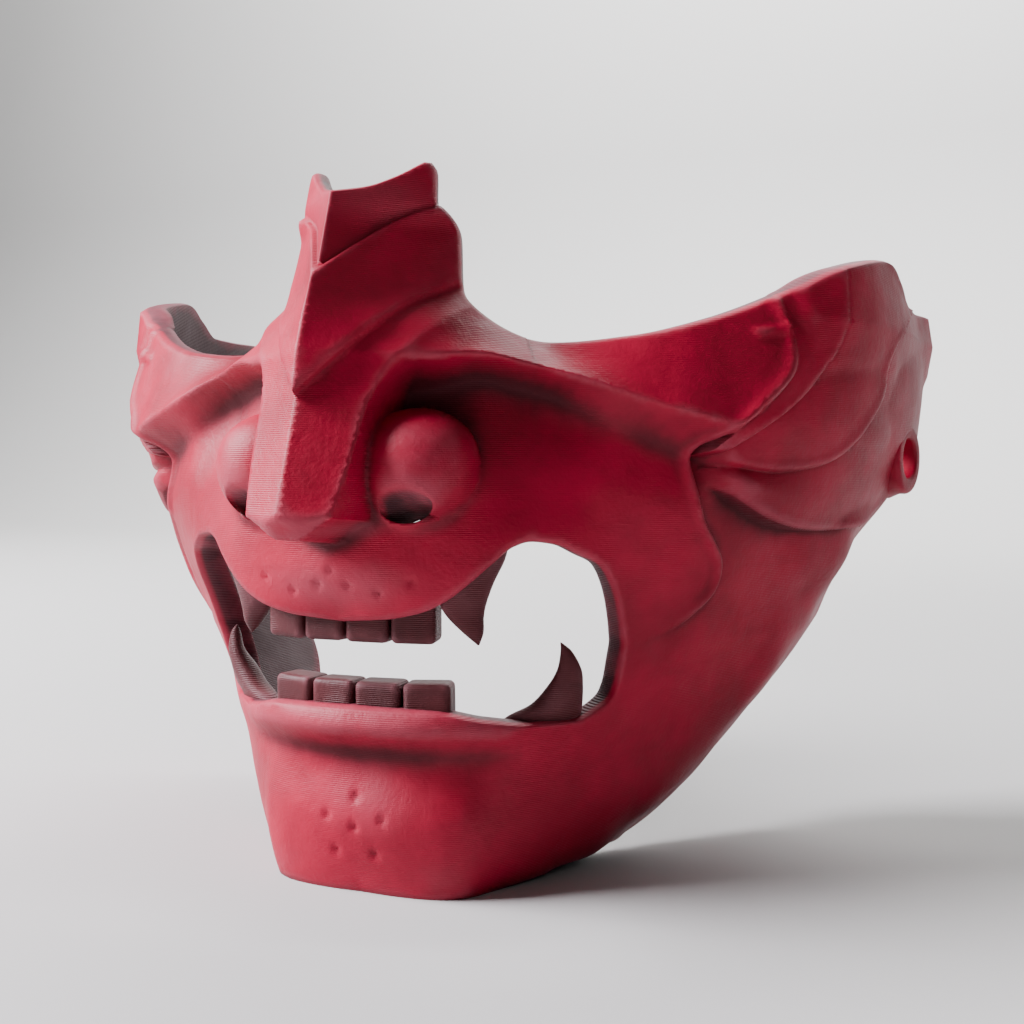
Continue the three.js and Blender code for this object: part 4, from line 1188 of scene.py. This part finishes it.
class Net:
    """A short way to add and join nodes of one tree."""

    def __init__(self, tree: bpy.types.NodeTree) -> None:
        """Work on a tree."""
        self.tree = tree

    def node(self, kind: str, **settings: object) -> bpy.types.Node:
        """Add a node with some of its settings."""
        made = self.tree.nodes.new(kind)
        for name, value in settings.items():
            setattr(made, name, value)
        return made

    def link(self, source: bpy.types.NodeSocket, target: bpy.types.NodeSocket) -> None:
        """Join two sockets."""
        self.tree.links.new(source, target)

    def feed(self, target: bpy.types.NodeSocket, value: object) -> None:
        """Join a socket to another, or give it a plain value."""
        if isinstance(value, bpy.types.NodeSocket):
            self.link(value, target)
        else:
            target.default_value = value

    def vector(self, operation: str, a: object, b: object = None,
               scale: float | None = None) -> bpy.types.NodeSocket:
        """Add vector maths."""
        made = self.node("ShaderNodeVectorMath", operation=operation)
        self.feed(made.inputs[0], a)
        if b is not None:
            self.feed(made.inputs[1], b)
        if scale is not None:
            made.inputs["Scale"].default_value = scale
        return made.outputs["Vector"]

    def maths(self, operation: str, a: object, b: object = None, clamp: bool = False) -> bpy.types.NodeSocket:
        """Add plain maths."""
        made = self.node("ShaderNodeMath", operation=operation, use_clamp=clamp)
        self.feed(made.inputs[0], a)
        if b is not None:
            self.feed(made.inputs[1], b)
        return made.outputs[0]


def run_tree(tree: bpy.types.NodeTree, values: dict[str, object], name: str) -> bpy.types.Mesh:
    """Run a geometry tree with its inputs set by identifier, and return the plain mesh it makes."""
    seed = bpy.data.meshes.new(name + "_seed")
    holder = bpy.data.objects.new(name + "_holder", seed)
    bpy.context.scene.collection.objects.link(holder)
    modifier = holder.modifiers.new("build", "NODES")
    modifier.node_group = tree
    for item in tree.interface.items_tree:
        if item.in_out == "INPUT":
            modifier[item.identifier] = values[item.name]
    graph = bpy.context.evaluated_depsgraph_get()
    graph.update()
    mesh = bpy.data.meshes.new_from_object(holder.evaluated_get(graph), depsgraph=graph)
    mesh.name = name
    holder.modifiers.remove(modifier)
    bpy.data.objects.remove(holder)
    bpy.data.meshes.remove(seed)
    return mesh


@dataclass
class Fang:
    """A bent fang that flares along the lip at its root.

    Every knot is (phi, z, radius, half width, half depth).
    """

    path: Knots
    steps: int = 40
    sides: int = 32

    def build(self) -> tuple[np.ndarray, np.ndarray]:
        """Make the fang of the right side, and its mirror image."""
        rows = catmull_rom(self.path, np.linspace(0, 1, self.steps))
        angles = np.linspace(0, 2 * math.pi, self.sides, endpoint=False)
        store = MeshStore()
        for side in (1, -1):
            lines, ends = [], []
            for phi, z, radius, width, depth in rows:
                turn = math.radians(phi)
                tangent = np.array([math.cos(turn), math.sin(turn), 0])
                outwards = np.array([math.sin(turn), -math.cos(turn), 0])
                centre = outwards * radius + (0, 0, z)
                ring = (centre + width * np.cos(angles)[:, None] * tangent
                        + depth * np.sin(angles)[:, None] * outwards)
                start = store.add(ring * (side, 1, 1))
                lines.append(np.arange(start, start + self.sides))
                ends.append(centre)
            store.strip(lines, True)
            for ring, point in ((lines[0], ends[0]), (lines[-1], ends[-1])):
                tip = store.add(point[None] * (side, 1, 1))
                store.faces.append(np.stack([ring, np.roll(ring, -1), np.full(self.sides, tip)], axis=1))
        return store.arrays()


TOOTH_ROWS = (
    ToothRow(Jaw.UPPER, 7.9, 49.4, 42.2, 56.3, 5.4),
    ToothRow(Jaw.LOWER, 8.4, 35.4, 27.4, 53.2, 5.6),
)
FANGS = {
    "upper": Fang((
        (23.4, 60, 56.6, 4.4, 2.2), (22.4, 56, 56.3, 4.6, 2.5), (20.9, 52, 55.8, 4.2, 2.6),
        (20.2, 48.7, 55.3, 3.7, 2.5), (20.6, 46.5, 55, 2.9, 2.2), (21.8, 44.1, 54.8, 1.7, 1.5),
        (22.7, 42, 54.6, 0.15, 0.15))),
    "lower": Fang((
        (35, 23.5, 46, 8, 2.2), (35.6, 28.4, 46.9, 6.8, 2.5), (38.2, 31, 48, 4.5, 2.5),
        (39.5, 34, 49.1, 3.1, 2.2), (39.8, 37, 50.4, 2.1, 1.4), (39.1, 40, 50.7, 1, 0.9),
        (38, 41.6, 50.8, 0.12, 0.12))),
}


# ------------------------------------------------------------------ finishes

# near black painted shade inside the pinholes
PINHOLE_SHADE_COLOUR = (0.012, 0.004, 0.004)


@dataclass(frozen=True)
class PrintFinish:
    """Painted printed plastic: a brushed colour, a dark wash in creases, painted shade in hollows, under
    overhangs, in holes and inside the shell, rubbed edges, layer lines.
    """

    name: str
    colour: tuple[float, float, float]
    deep: tuple[float, float, float]
    # dark colour of the wash in creases, also used as painted shade in hollows, under overhangs and in the
    # nostril holes
    wash_and_shade: tuple[float, float, float]
    rubbed: tuple[float, float, float]
    # darker colour of the inside of the shell: painted shade
    inner: tuple[float, float, float]
    roughness: float = 0.5
    layer: float = 0.32
    layer_depth: float = 0.22
    patch: float = 42.0
    mottle: float = 210.0
    grain: float = 1500.0
    streaks: float = 0.35
    wash_and_shade_strength: float = 0.86
    rub_strength: float = 0.6
    rough_spread: float = 0.22
    specular: float = 0.22
    layer_sway: float = 0.00006
    layer_relief: float = 0.00002
    mottle_relief: float = 0.00022
    grain_relief: float = 0.00006
    pit_relief: float = 0.0009

    def material(self) -> bpy.types.Material:
        """Build the material."""
        material = bpy.data.materials.new(self.name)
        material.use_nodes = True
        tree = material.node_tree
        tree.nodes.clear()
        net = Net(tree)
        out = net.node("ShaderNodeOutputMaterial")
        shader = net.node("ShaderNodeBsdfPrincipled")
        net.link(shader.outputs[0], out.inputs["Surface"])
        where = net.node("ShaderNodeTexCoord").outputs["Object"]
        patches = self.noise(net, where, self.patch, 5.0, 0.62)
        mottle = self.noise(net, where, self.mottle, 4.0, 0.6)
        grain = self.noise(net, where, self.grain, 2.0, 0.5)
        inside = self.vertex_field(net, "inside")
        wash_and_shade_share = self.wash_and_shade_share(net, mottle)
        worn = self.worn(net, mottle, patches)
        base = self.mix(net, self.ramp(net, patches, 0.36, 0.66), self.colour, self.deep)
        streaks = self.ramp(net, self.stretched(net, where), 0.5, 0.72)
        base = self.mix(net, net.maths("MULTIPLY", streaks, self.streaks), base, self.deep)
        # painted shade: the inside of the shell darkened
        base = self.mix(net, self.ramp(net, inside, 0.1, 0.75), base, self.inner)
        # darken with the wash in creases and with painted shade in hollows, under overhangs and in the
        # nostril holes
        base = self.mix(net, wash_and_shade_share, base, self.wash_and_shade)
        base = self.mix(net, worn, base, self.rubbed)
        # pinholes: their relief, and painted shade inside them
        pits, pinhole_shade = self.pits(net, where)
        base = self.mix(net, pinhole_shade, base, PINHOLE_SHADE_COLOUR)
        net.link(base, shader.inputs["Base Color"])
        rough = net.maths("MULTIPLY_ADD", mottle, self.rough_spread)
        rough.node.inputs[2].default_value = self.roughness - self.rough_spread / 2
        rough = net.maths("ADD", rough, net.maths("MULTIPLY", wash_and_shade_share, 0.18))
        rough = net.maths("ADD", rough, net.maths("MULTIPLY", worn, 0.1), clamp=True)
        net.link(rough, shader.inputs["Roughness"])
        shader.inputs["Specular IOR Level"].default_value = self.specular
        net.link(self.bump(net, where, grain, mottle, pits, inside), shader.inputs["Normal"])
        return material

    @staticmethod
    def vertex_field(net: Net, name: str) -> bpy.types.NodeSocket:
        """Read one of the mesh's vertex fields."""
        return net.node("ShaderNodeAttribute", attribute_name=name).outputs["Fac"]

    def wash_and_shade_share(self, net: Net, mottle: bpy.types.NodeSocket) -> bpy.types.NodeSocket:
        """Return how much dark wash covers the paint, with the painted shade of hollows, downward faces and
        the nostril holes.
        """
        uneven = net.maths("MULTIPLY", net.maths("SUBTRACT", mottle, 0.5), 0.3)
        wash_and_shade_share = net.maths("ADD", self.vertex_field(net, "wash_and_shade"), uneven)
        return net.maths("MULTIPLY", self.ramp(net, wash_and_shade_share, 0.06, 0.95), self.wash_and_shade_strength)

    def worn(self, net: Net, mottle: bpy.types.NodeSocket,
             patches: bpy.types.NodeSocket) -> bpy.types.NodeSocket:
        """Return how far the paint is rubbed on sharp edges and chalky spots."""
        uneven = net.maths("MULTIPLY", net.maths("SUBTRACT", mottle, 0.5), 0.8)
        worn = net.maths("ADD", self.vertex_field(net, "rub"), uneven)
        chalk = net.maths("MULTIPLY", self.vertex_field(net, "chalk"), net.maths("ADD", patches, 0.45))
        worn = net.maths("MAXIMUM", worn, chalk)
        return net.maths("MULTIPLY", self.ramp(net, worn, 0.34, 1.1), self.rub_strength)

    @staticmethod
    def noise(net: Net, where: bpy.types.NodeSocket, scale: float, detail: float,
              rough: float) -> bpy.types.NodeSocket:
        """Add fractal noise."""
        made = net.node("ShaderNodeTexNoise")
        net.link(where, made.inputs["Vector"])
        made.inputs["Scale"].default_value = scale
        made.inputs["Detail"].default_value = detail
        made.inputs["Roughness"].default_value = rough
        return made.outputs["Fac"]

    def stretched(self, net: Net, where: bpy.types.NodeSocket) -> bpy.types.NodeSocket:
        """Add brush streaks, long across and short in height."""
        turn = net.node("ShaderNodeMapping")
        net.link(where, turn.inputs["Vector"])
        turn.inputs["Scale"].default_value = (0.35, 0.35, 2.2)
        return self.noise(net, turn.outputs[0], 130.0, 4.0, 0.65)

    @staticmethod
    def ramp(net: Net, value: bpy.types.NodeSocket, low: float, high: float) -> bpy.types.NodeSocket:
        """Stretch the range from low to high to 0 to 1, smoothly."""
        made = net.node("ShaderNodeMapRange", interpolation_type="SMOOTHSTEP")
        net.link(value, made.inputs["Value"])
        made.inputs["From Min"].default_value = low
        made.inputs["From Max"].default_value = high
        return made.outputs["Result"]

    @staticmethod
    def mix(net: Net, share: object, a: object, b: object) -> bpy.types.NodeSocket:
        """Mix two colours."""
        made = net.node("ShaderNodeMix", data_type="RGBA")
        net.feed(made.inputs[0], share)
        for slot, colour in ((6, a), (7, b)):
            net.feed(made.inputs[slot], (*colour, 1) if isinstance(colour, tuple) else colour)
        return made.outputs[2]

    def pits(
        self, net: Net, where: bpy.types.NodeSocket,
    ) -> tuple[bpy.types.NodeSocket, bpy.types.NodeSocket]:
        """Add rare pinholes: their depth, and the shade in them painted dark."""
        cells = net.node("ShaderNodeTexVoronoi")
        net.link(where, cells.inputs["Vector"])
        cells.inputs["Scale"].default_value = 62.0
        dot = self.ramp(net, cells.outputs["Distance"], 0.052, 0.03)
        rare = net.node("ShaderNodeSeparateColor")
        net.link(cells.outputs["Color"], rare.inputs[0])
        chosen = self.ramp(net, rare.outputs[0], 0.9, 0.91)
        dark = net.maths("MULTIPLY", dot, chosen)
        return net.maths("MULTIPLY", dark, -0.4), net.maths("MULTIPLY", dark, 0.9)

    def bump(self, net: Net, where: bpy.types.NodeSocket, grain: bpy.types.NodeSocket,
             mottle: bpy.types.NodeSocket, pits: bpy.types.NodeSocket,
             inside: bpy.types.NodeSocket) -> bpy.types.NodeSocket:
        """Add the relief: printed layers, brush marks, grain and pinholes."""
        split = net.node("ShaderNodeSeparateXYZ")
        net.link(where, split.inputs[0])
        sway = net.maths("MULTIPLY", mottle, self.layer_sway)
        height = net.maths("ADD", split.outputs[2], sway)
        wave = net.maths("SINE", net.maths("MULTIPLY", height, 2 * math.pi / (self.layer * MM)))
        patchy = self.ramp(net, self.noise(net, where, 60.0, 2.0, 0.5), 0.3, 0.7)
        patchy = net.maths("ADD", patchy, net.maths("MULTIPLY", inside, 2.4))
        depth = self.layer_relief * self.layer_depth / 0.22
        relief = net.maths("MULTIPLY", wave, net.maths("MULTIPLY", patchy, depth))
        relief = net.maths("ADD", relief, net.maths("MULTIPLY", mottle, self.mottle_relief))
        relief = net.maths("ADD", relief, net.maths("MULTIPLY", grain, self.grain_relief))
        relief = net.maths("ADD", relief, net.maths("MULTIPLY", pits, self.pit_relief))
        bump = net.node("ShaderNodeBump")
        bump.inputs["Strength"].default_value = 0.9
        bump.inputs["Distance"].default_value = 1.0
        net.link(relief, bump.inputs["Height"])
        return bump.outputs[0]


RED_PRINT = PrintFinish("red_print", (0.38, 0.002, 0.031), (0.25, 0.001, 0.019), (0.03, 0.003, 0.006),
                        (0.36, 0.06, 0.09), (0.06, 0.011, 0.018))
DARK_PRINT = PrintFinish("dark_print", (0.085, 0.014, 0.018), (0.055, 0.009, 0.012), (0.018, 0.004, 0.006),
                         (0.2, 0.07, 0.085), (0.07, 0.013, 0.018), roughness=0.52, layer_depth=0.5)


def smooth_field(field_values: np.ndarray, pairs: np.ndarray, rounds: int) -> np.ndarray:
    """Average a field over neighbours.

    Args:
        field_values: one row per vertex.
        pairs: the mesh's edges.
        rounds: how many times.

    Returns:
        The smoothed field.
    """
    count = len(field_values)
    both = np.concatenate([pairs, pairs[:, ::-1]])
    degree = np.maximum(1, np.bincount(both[:, 0], minlength=count))[:, None]
    now = field_values
    for _ in range(rounds):
        total = np.stack([np.bincount(both[:, 0], weights=now[both[:, 1], k], minlength=count)
                          for k in range(now.shape[1])], axis=1)
        now = 0.4 * now + 0.6 * total / degree
    return now


def read_mesh(piece: bpy.types.Object) -> tuple[np.ndarray, np.ndarray, np.ndarray]:
    """Return a mesh's points in mm about the head's axis, its normals and its edges."""
    mesh = piece.data
    points, normals = np.empty(len(mesh.vertices) * 3), np.empty(len(mesh.vertices) * 3)
    pairs = np.empty(len(mesh.edges) * 2, int)
    mesh.vertices.foreach_get("co", points)
    mesh.vertices.foreach_get("normal", normals)
    mesh.edges.foreach_get("vertices", pairs)
    return points.reshape(-1, 3) / MM - (0, AXIS_Y, 0), normals.reshape(-1, 3), pairs.reshape(-1, 2)


def write_field(piece: bpy.types.Object, name: str, values: np.ndarray) -> None:
    """Store one value per vertex."""
    layer = piece.data.attributes.new(name, "FLOAT", "POINT")
    layer.data.foreach_set("value", np.clip(values, 0, 1).astype(np.float32))


# Where the paint is rubbed thin and greyish: (phi, z, reach in degrees, reach in mm, strength).
CHALK_SPOTS = (
    (2, 52, 15, 5.5, 1.0), (5, 60.5, 6, 2.2, 0.9), (3, 16, 11, 9, 0.75), (16, 4, 9, 6, 0.6),
    (6, 113, 14, 7, 0.75), (64, 84, 12, 3, 0.35), (46, 57, 4, 9, 0.4), (57, 40, 5, 9, 0.5),
)


def chalky(piece: bpy.types.Object) -> np.ndarray:
    """Return how chalky the paint is at each vertex of the mask."""
    points, _, _ = read_mesh(piece)
    phi = np.degrees(np.arctan2(np.abs(points[:, 0]), -points[:, 1]))
    total = np.zeros(len(points))
    for at_phi, at_z, wide, high, strength in CHALK_SPOTS:
        spot = bell(np.hypot((phi - at_phi) / wide, (points[:, 2] - at_z) / high), 1.0)
        total = np.maximum(total, strength * spot)
    return total


@dataclass(frozen=True)
class ShadeAndWear:
    """How the shape of a mesh is read as creases that hold wash, hollows and downward faces that get painted
    shade, and edges that are rubbed.

    The bends are in mm: how far a point lies below or above the mean of its neighbours.
    """

    crease_bend: float = 0.13
    crease_weight: float = 0.5
    hollow_bend: float = 1.5
    hollow_shade_weight: float = 0.75
    under_shade_weight: float = 0.4
    edge_bend: float = 0.1
    edge_weight: float = 0.7
    ridge_bend: float = 1.5
    ridge_weight: float = 0.3

    def measure(self, piece: bpy.types.Object) -> tuple[np.ndarray, np.ndarray]:
        """Return the wash with its painted shade, and how sharp a mesh is, at each vertex, fine and broad
        together.
        """
        points, normals, pairs = read_mesh(piece)
        fine = smooth_field(points, pairs, 3)
        broad = smooth_field(fine, pairs, 45)
        fine_bend = ((fine - points) * normals).sum(axis=1)
        broad_bend = ((broad - points) * normals).sum(axis=1)
        # painted shade in broad hollows
        hollow = np.clip(broad_bend / self.hollow_bend, 0, 1) * self.hollow_shade_weight
        # painted shade on faces that look down
        hollow += self.under_shade_weight * smoothstep(-normals[:, 2], 0.12, 0.7)
        wide = smooth_field(hollow[:, None], pairs, 14)[:, 0]
        # the wash in fine creases
        crease = np.clip(fine_bend / self.crease_bend, 0, 1) * self.crease_weight
        edge = np.clip(-fine_bend / self.edge_bend, 0, 1) * self.edge_weight
        edge += np.clip(-broad_bend / self.ridge_bend, 0, 1) * self.ridge_weight
        soft = smooth_field(np.stack([wide + crease, edge], axis=1), pairs, 2)
        return soft[:, 0], soft[:, 1]


# ------------------------------------------------------------------ the scene

@dataclass(frozen=True)
class Lamp:
    """A square soft light: where it hangs in metres, its side, its watts and where it looks."""

    name: str
    at: tuple[float, float, float]
    size: float
    power: float
    colour: tuple[float, float, float]
    aim: tuple[float, float, float] = (0, 0, 0.06)


LAMPS = (
    Lamp("window", (-0.76, -0.34, 0.66), 0.5, 50.0, (0.97, 0.95, 1.0)),
    Lamp("fill", (0.9, -0.4, 0.9), 0.7, 0.8, (1.0, 0.97, 0.97)),
    Lamp("sky", (0.0, -0.1, 1.1), 0.8, 0.4, (1.0, 0.99, 1.0)),
    Lamp("backdrop", (0.0, 1.0, 1.7), 1.5, 130.0, (1.0, 1.0, 1.0), (-0.5, 2.6, 0.5)),
)
FLOOR_COLOUR = (0.47, 0.465, 0.46, 1)


@dataclass
class Studio:
    """Floor, soft lights and the camera."""

    camera_at: tuple[float, float, float] = (95.7, -224.2, 69.6)
    azimuth: float = 21.63
    pitch: float = 1.97
    lens: float = 42.19

    def floor(self) -> None:
        """Lay a wide pale floor that curves up behind."""
        store = MeshStore()
        turn = np.linspace(0, math.pi / 2, 13)
        back, radius = 900.0, 500.0
        profile = [(-2500.0, 0.0)] + [(back + radius * math.sin(a), radius * (1 - math.cos(a))) for a in turn]
        profile.append((back + radius, 2600.0))
        lines = []
        for y, z in profile:
            start = store.add(np.array([(-3500.0, y, z), (3500.0, y, z)]))
            lines.append(np.arange(start, start + 2))
        store.strip(lines, False)
        points, faces = store.arrays()
        piece = make_object("floor", points, faces[:, ::-1])
        material = bpy.data.materials.new("floor_pale")
        material.use_nodes = True
        shader = material.node_tree.nodes["Principled BSDF"]
        shader.inputs["Base Color"].default_value = FLOOR_COLOUR
        shader.inputs["Roughness"].default_value = 0.75
        piece.data.materials.append(material)

    @staticmethod
    def hang(lamp: Lamp) -> None:
        """Hang one square soft light."""
        data = bpy.data.lights.new(lamp.name, "AREA")
        data.size, data.energy, data.color = lamp.size, lamp.power, lamp.colour
        holder = bpy.data.objects.new(lamp.name, data)
        holder.location = lamp.at
        way = Vector(lamp.aim) - Vector(lamp.at)
        holder.rotation_euler = way.to_track_quat("-Z", "Y").to_euler()
        bpy.context.scene.collection.objects.link(holder)

    def build(self) -> None:
        """Set up everything round the mask."""
        self.floor()
        for lamp in LAMPS:
            self.hang(lamp)
        world = bpy.data.worlds.new("studio")
        world.use_nodes = True
        world.node_tree.nodes["Background"].inputs["Color"].default_value = (0.9, 0.92, 0.95, 1)
        world.node_tree.nodes["Background"].inputs["Strength"].default_value = 0.03
        bpy.context.scene.world = world
        data = bpy.data.cameras.new("camera")
        data.lens, data.sensor_width = self.lens, 36
        data.clip_start = 0.01
        camera = bpy.data.objects.new("camera", data)
        x, y, z = self.camera_at
        camera.location = (x * MM, (y + AXIS_Y) * MM, z * MM)
        camera.rotation_euler = (math.radians(90 - self.pitch), 0, math.radians(self.azimuth))
        bpy.context.scene.collection.objects.link(camera)
        bpy.context.scene.camera = camera


def settle(piece: bpy.types.Object, nodes: Sequence[str]) -> None:
    """Say what a piece rides on and which solids it stands for, and log its size."""
    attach(piece, "root")
    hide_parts(*nodes)
    triangles = sum(len(p.vertices) - 2 for p in piece.data.polygons)
    LOG.info("piece %s: %d vertices, %d triangles", piece.name, len(piece.data.vertices), triangles)


def closed_up(piece: bpy.types.Object) -> None:
    """Turn a closed mesh's faces outwards and report any open edge."""
    work = bmesh.new()
    work.from_mesh(piece.data)
    bmesh.ops.recalc_face_normals(work, faces=work.faces)
    if work.calc_volume(signed=True) < 0:
        bmesh.ops.reverse_faces(work, faces=work.faces)
    loose = sum(1 for edge in work.edges if len(edge.link_faces) != 2)
    if loose:
        LOG.warning("piece %s has %d open edges", piece.name, loose)
    work.to_mesh(piece.data)
    work.free()


def dress(
    piece: bpy.types.Object, finish: bpy.types.Material, wash_and_shade: float = 1.0, rub: float = 1.0,
) -> None:
    """Close up a piece, give it its finish and store where it holds wash and painted shade and where it is
    rubbed.
    """
    closed_up(piece)
    if not piece.data.materials:
        piece.data.materials.append(finish)
    hollow, edge = ShadeAndWear().measure(piece)
    write_field(piece, "wash_and_shade", hollow * wash_and_shade)
    write_field(piece, "rub", edge * rub)


def build_mask(finish: bpy.types.Material) -> None:
    """Build the printed shell with its leaves and bridge band."""
    body = MaskBody()
    mask = make_object("mask_body", *body.build())
    closed_up(mask)
    mask.data.materials.append(finish)
    hollow, edge = ShadeAndWear().measure(mask)
    # the wash, with painted shade in hollows, under overhangs and on the walls of the nostril holes
    write_field(mask, "wash_and_shade", np.maximum(hollow, body.tunnel(mask)))
    write_field(mask, "rub", edge)
    # drives the painted shade inside the shell and its stronger layer lines
    write_field(mask, "inside", body.innerness(mask))
    write_field(mask, "chalk", chalky(mask))
    leaves = [f"{leaf}_leaf_{side}" for leaf in ("front", "middle", "rear") for side in SIDES.values()]
    settle(mask, ["mask_shell", "bridge_band", *leaves])


def main() -> None:
    """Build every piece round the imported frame."""
    logging.basicConfig(level=logging.INFO, format="%(name)s: %(message)s")
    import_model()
    red, dark = RED_PRINT.material(), DARK_PRINT.material()
    build_mask(red)
    for side, name in SIDES.items():
        ring = make_object(f"tie_boss_{name}", *TieBoss().build(side))
        dress(ring, red, wash_and_shade=0.6, rub=0.5)
        settle(ring, [f"strap_boss_{name}"])
    for row in TOOTH_ROWS:
        teeth = row.build(dark)
        dress(teeth, dark)
        settle(teeth, [f"{row.jaw.value}_tooth_{i}" for i in range(1, row.count + 1)])
    for name, fang in FANGS.items():
        pair = make_object(f"{name}_fangs", *fang.build())
        dress(pair, dark)
        settle(pair, [f"{name}_fang_{side}" for side in SIDES.values()])
    Studio().build()


if __name__ == "__main__":
    main()
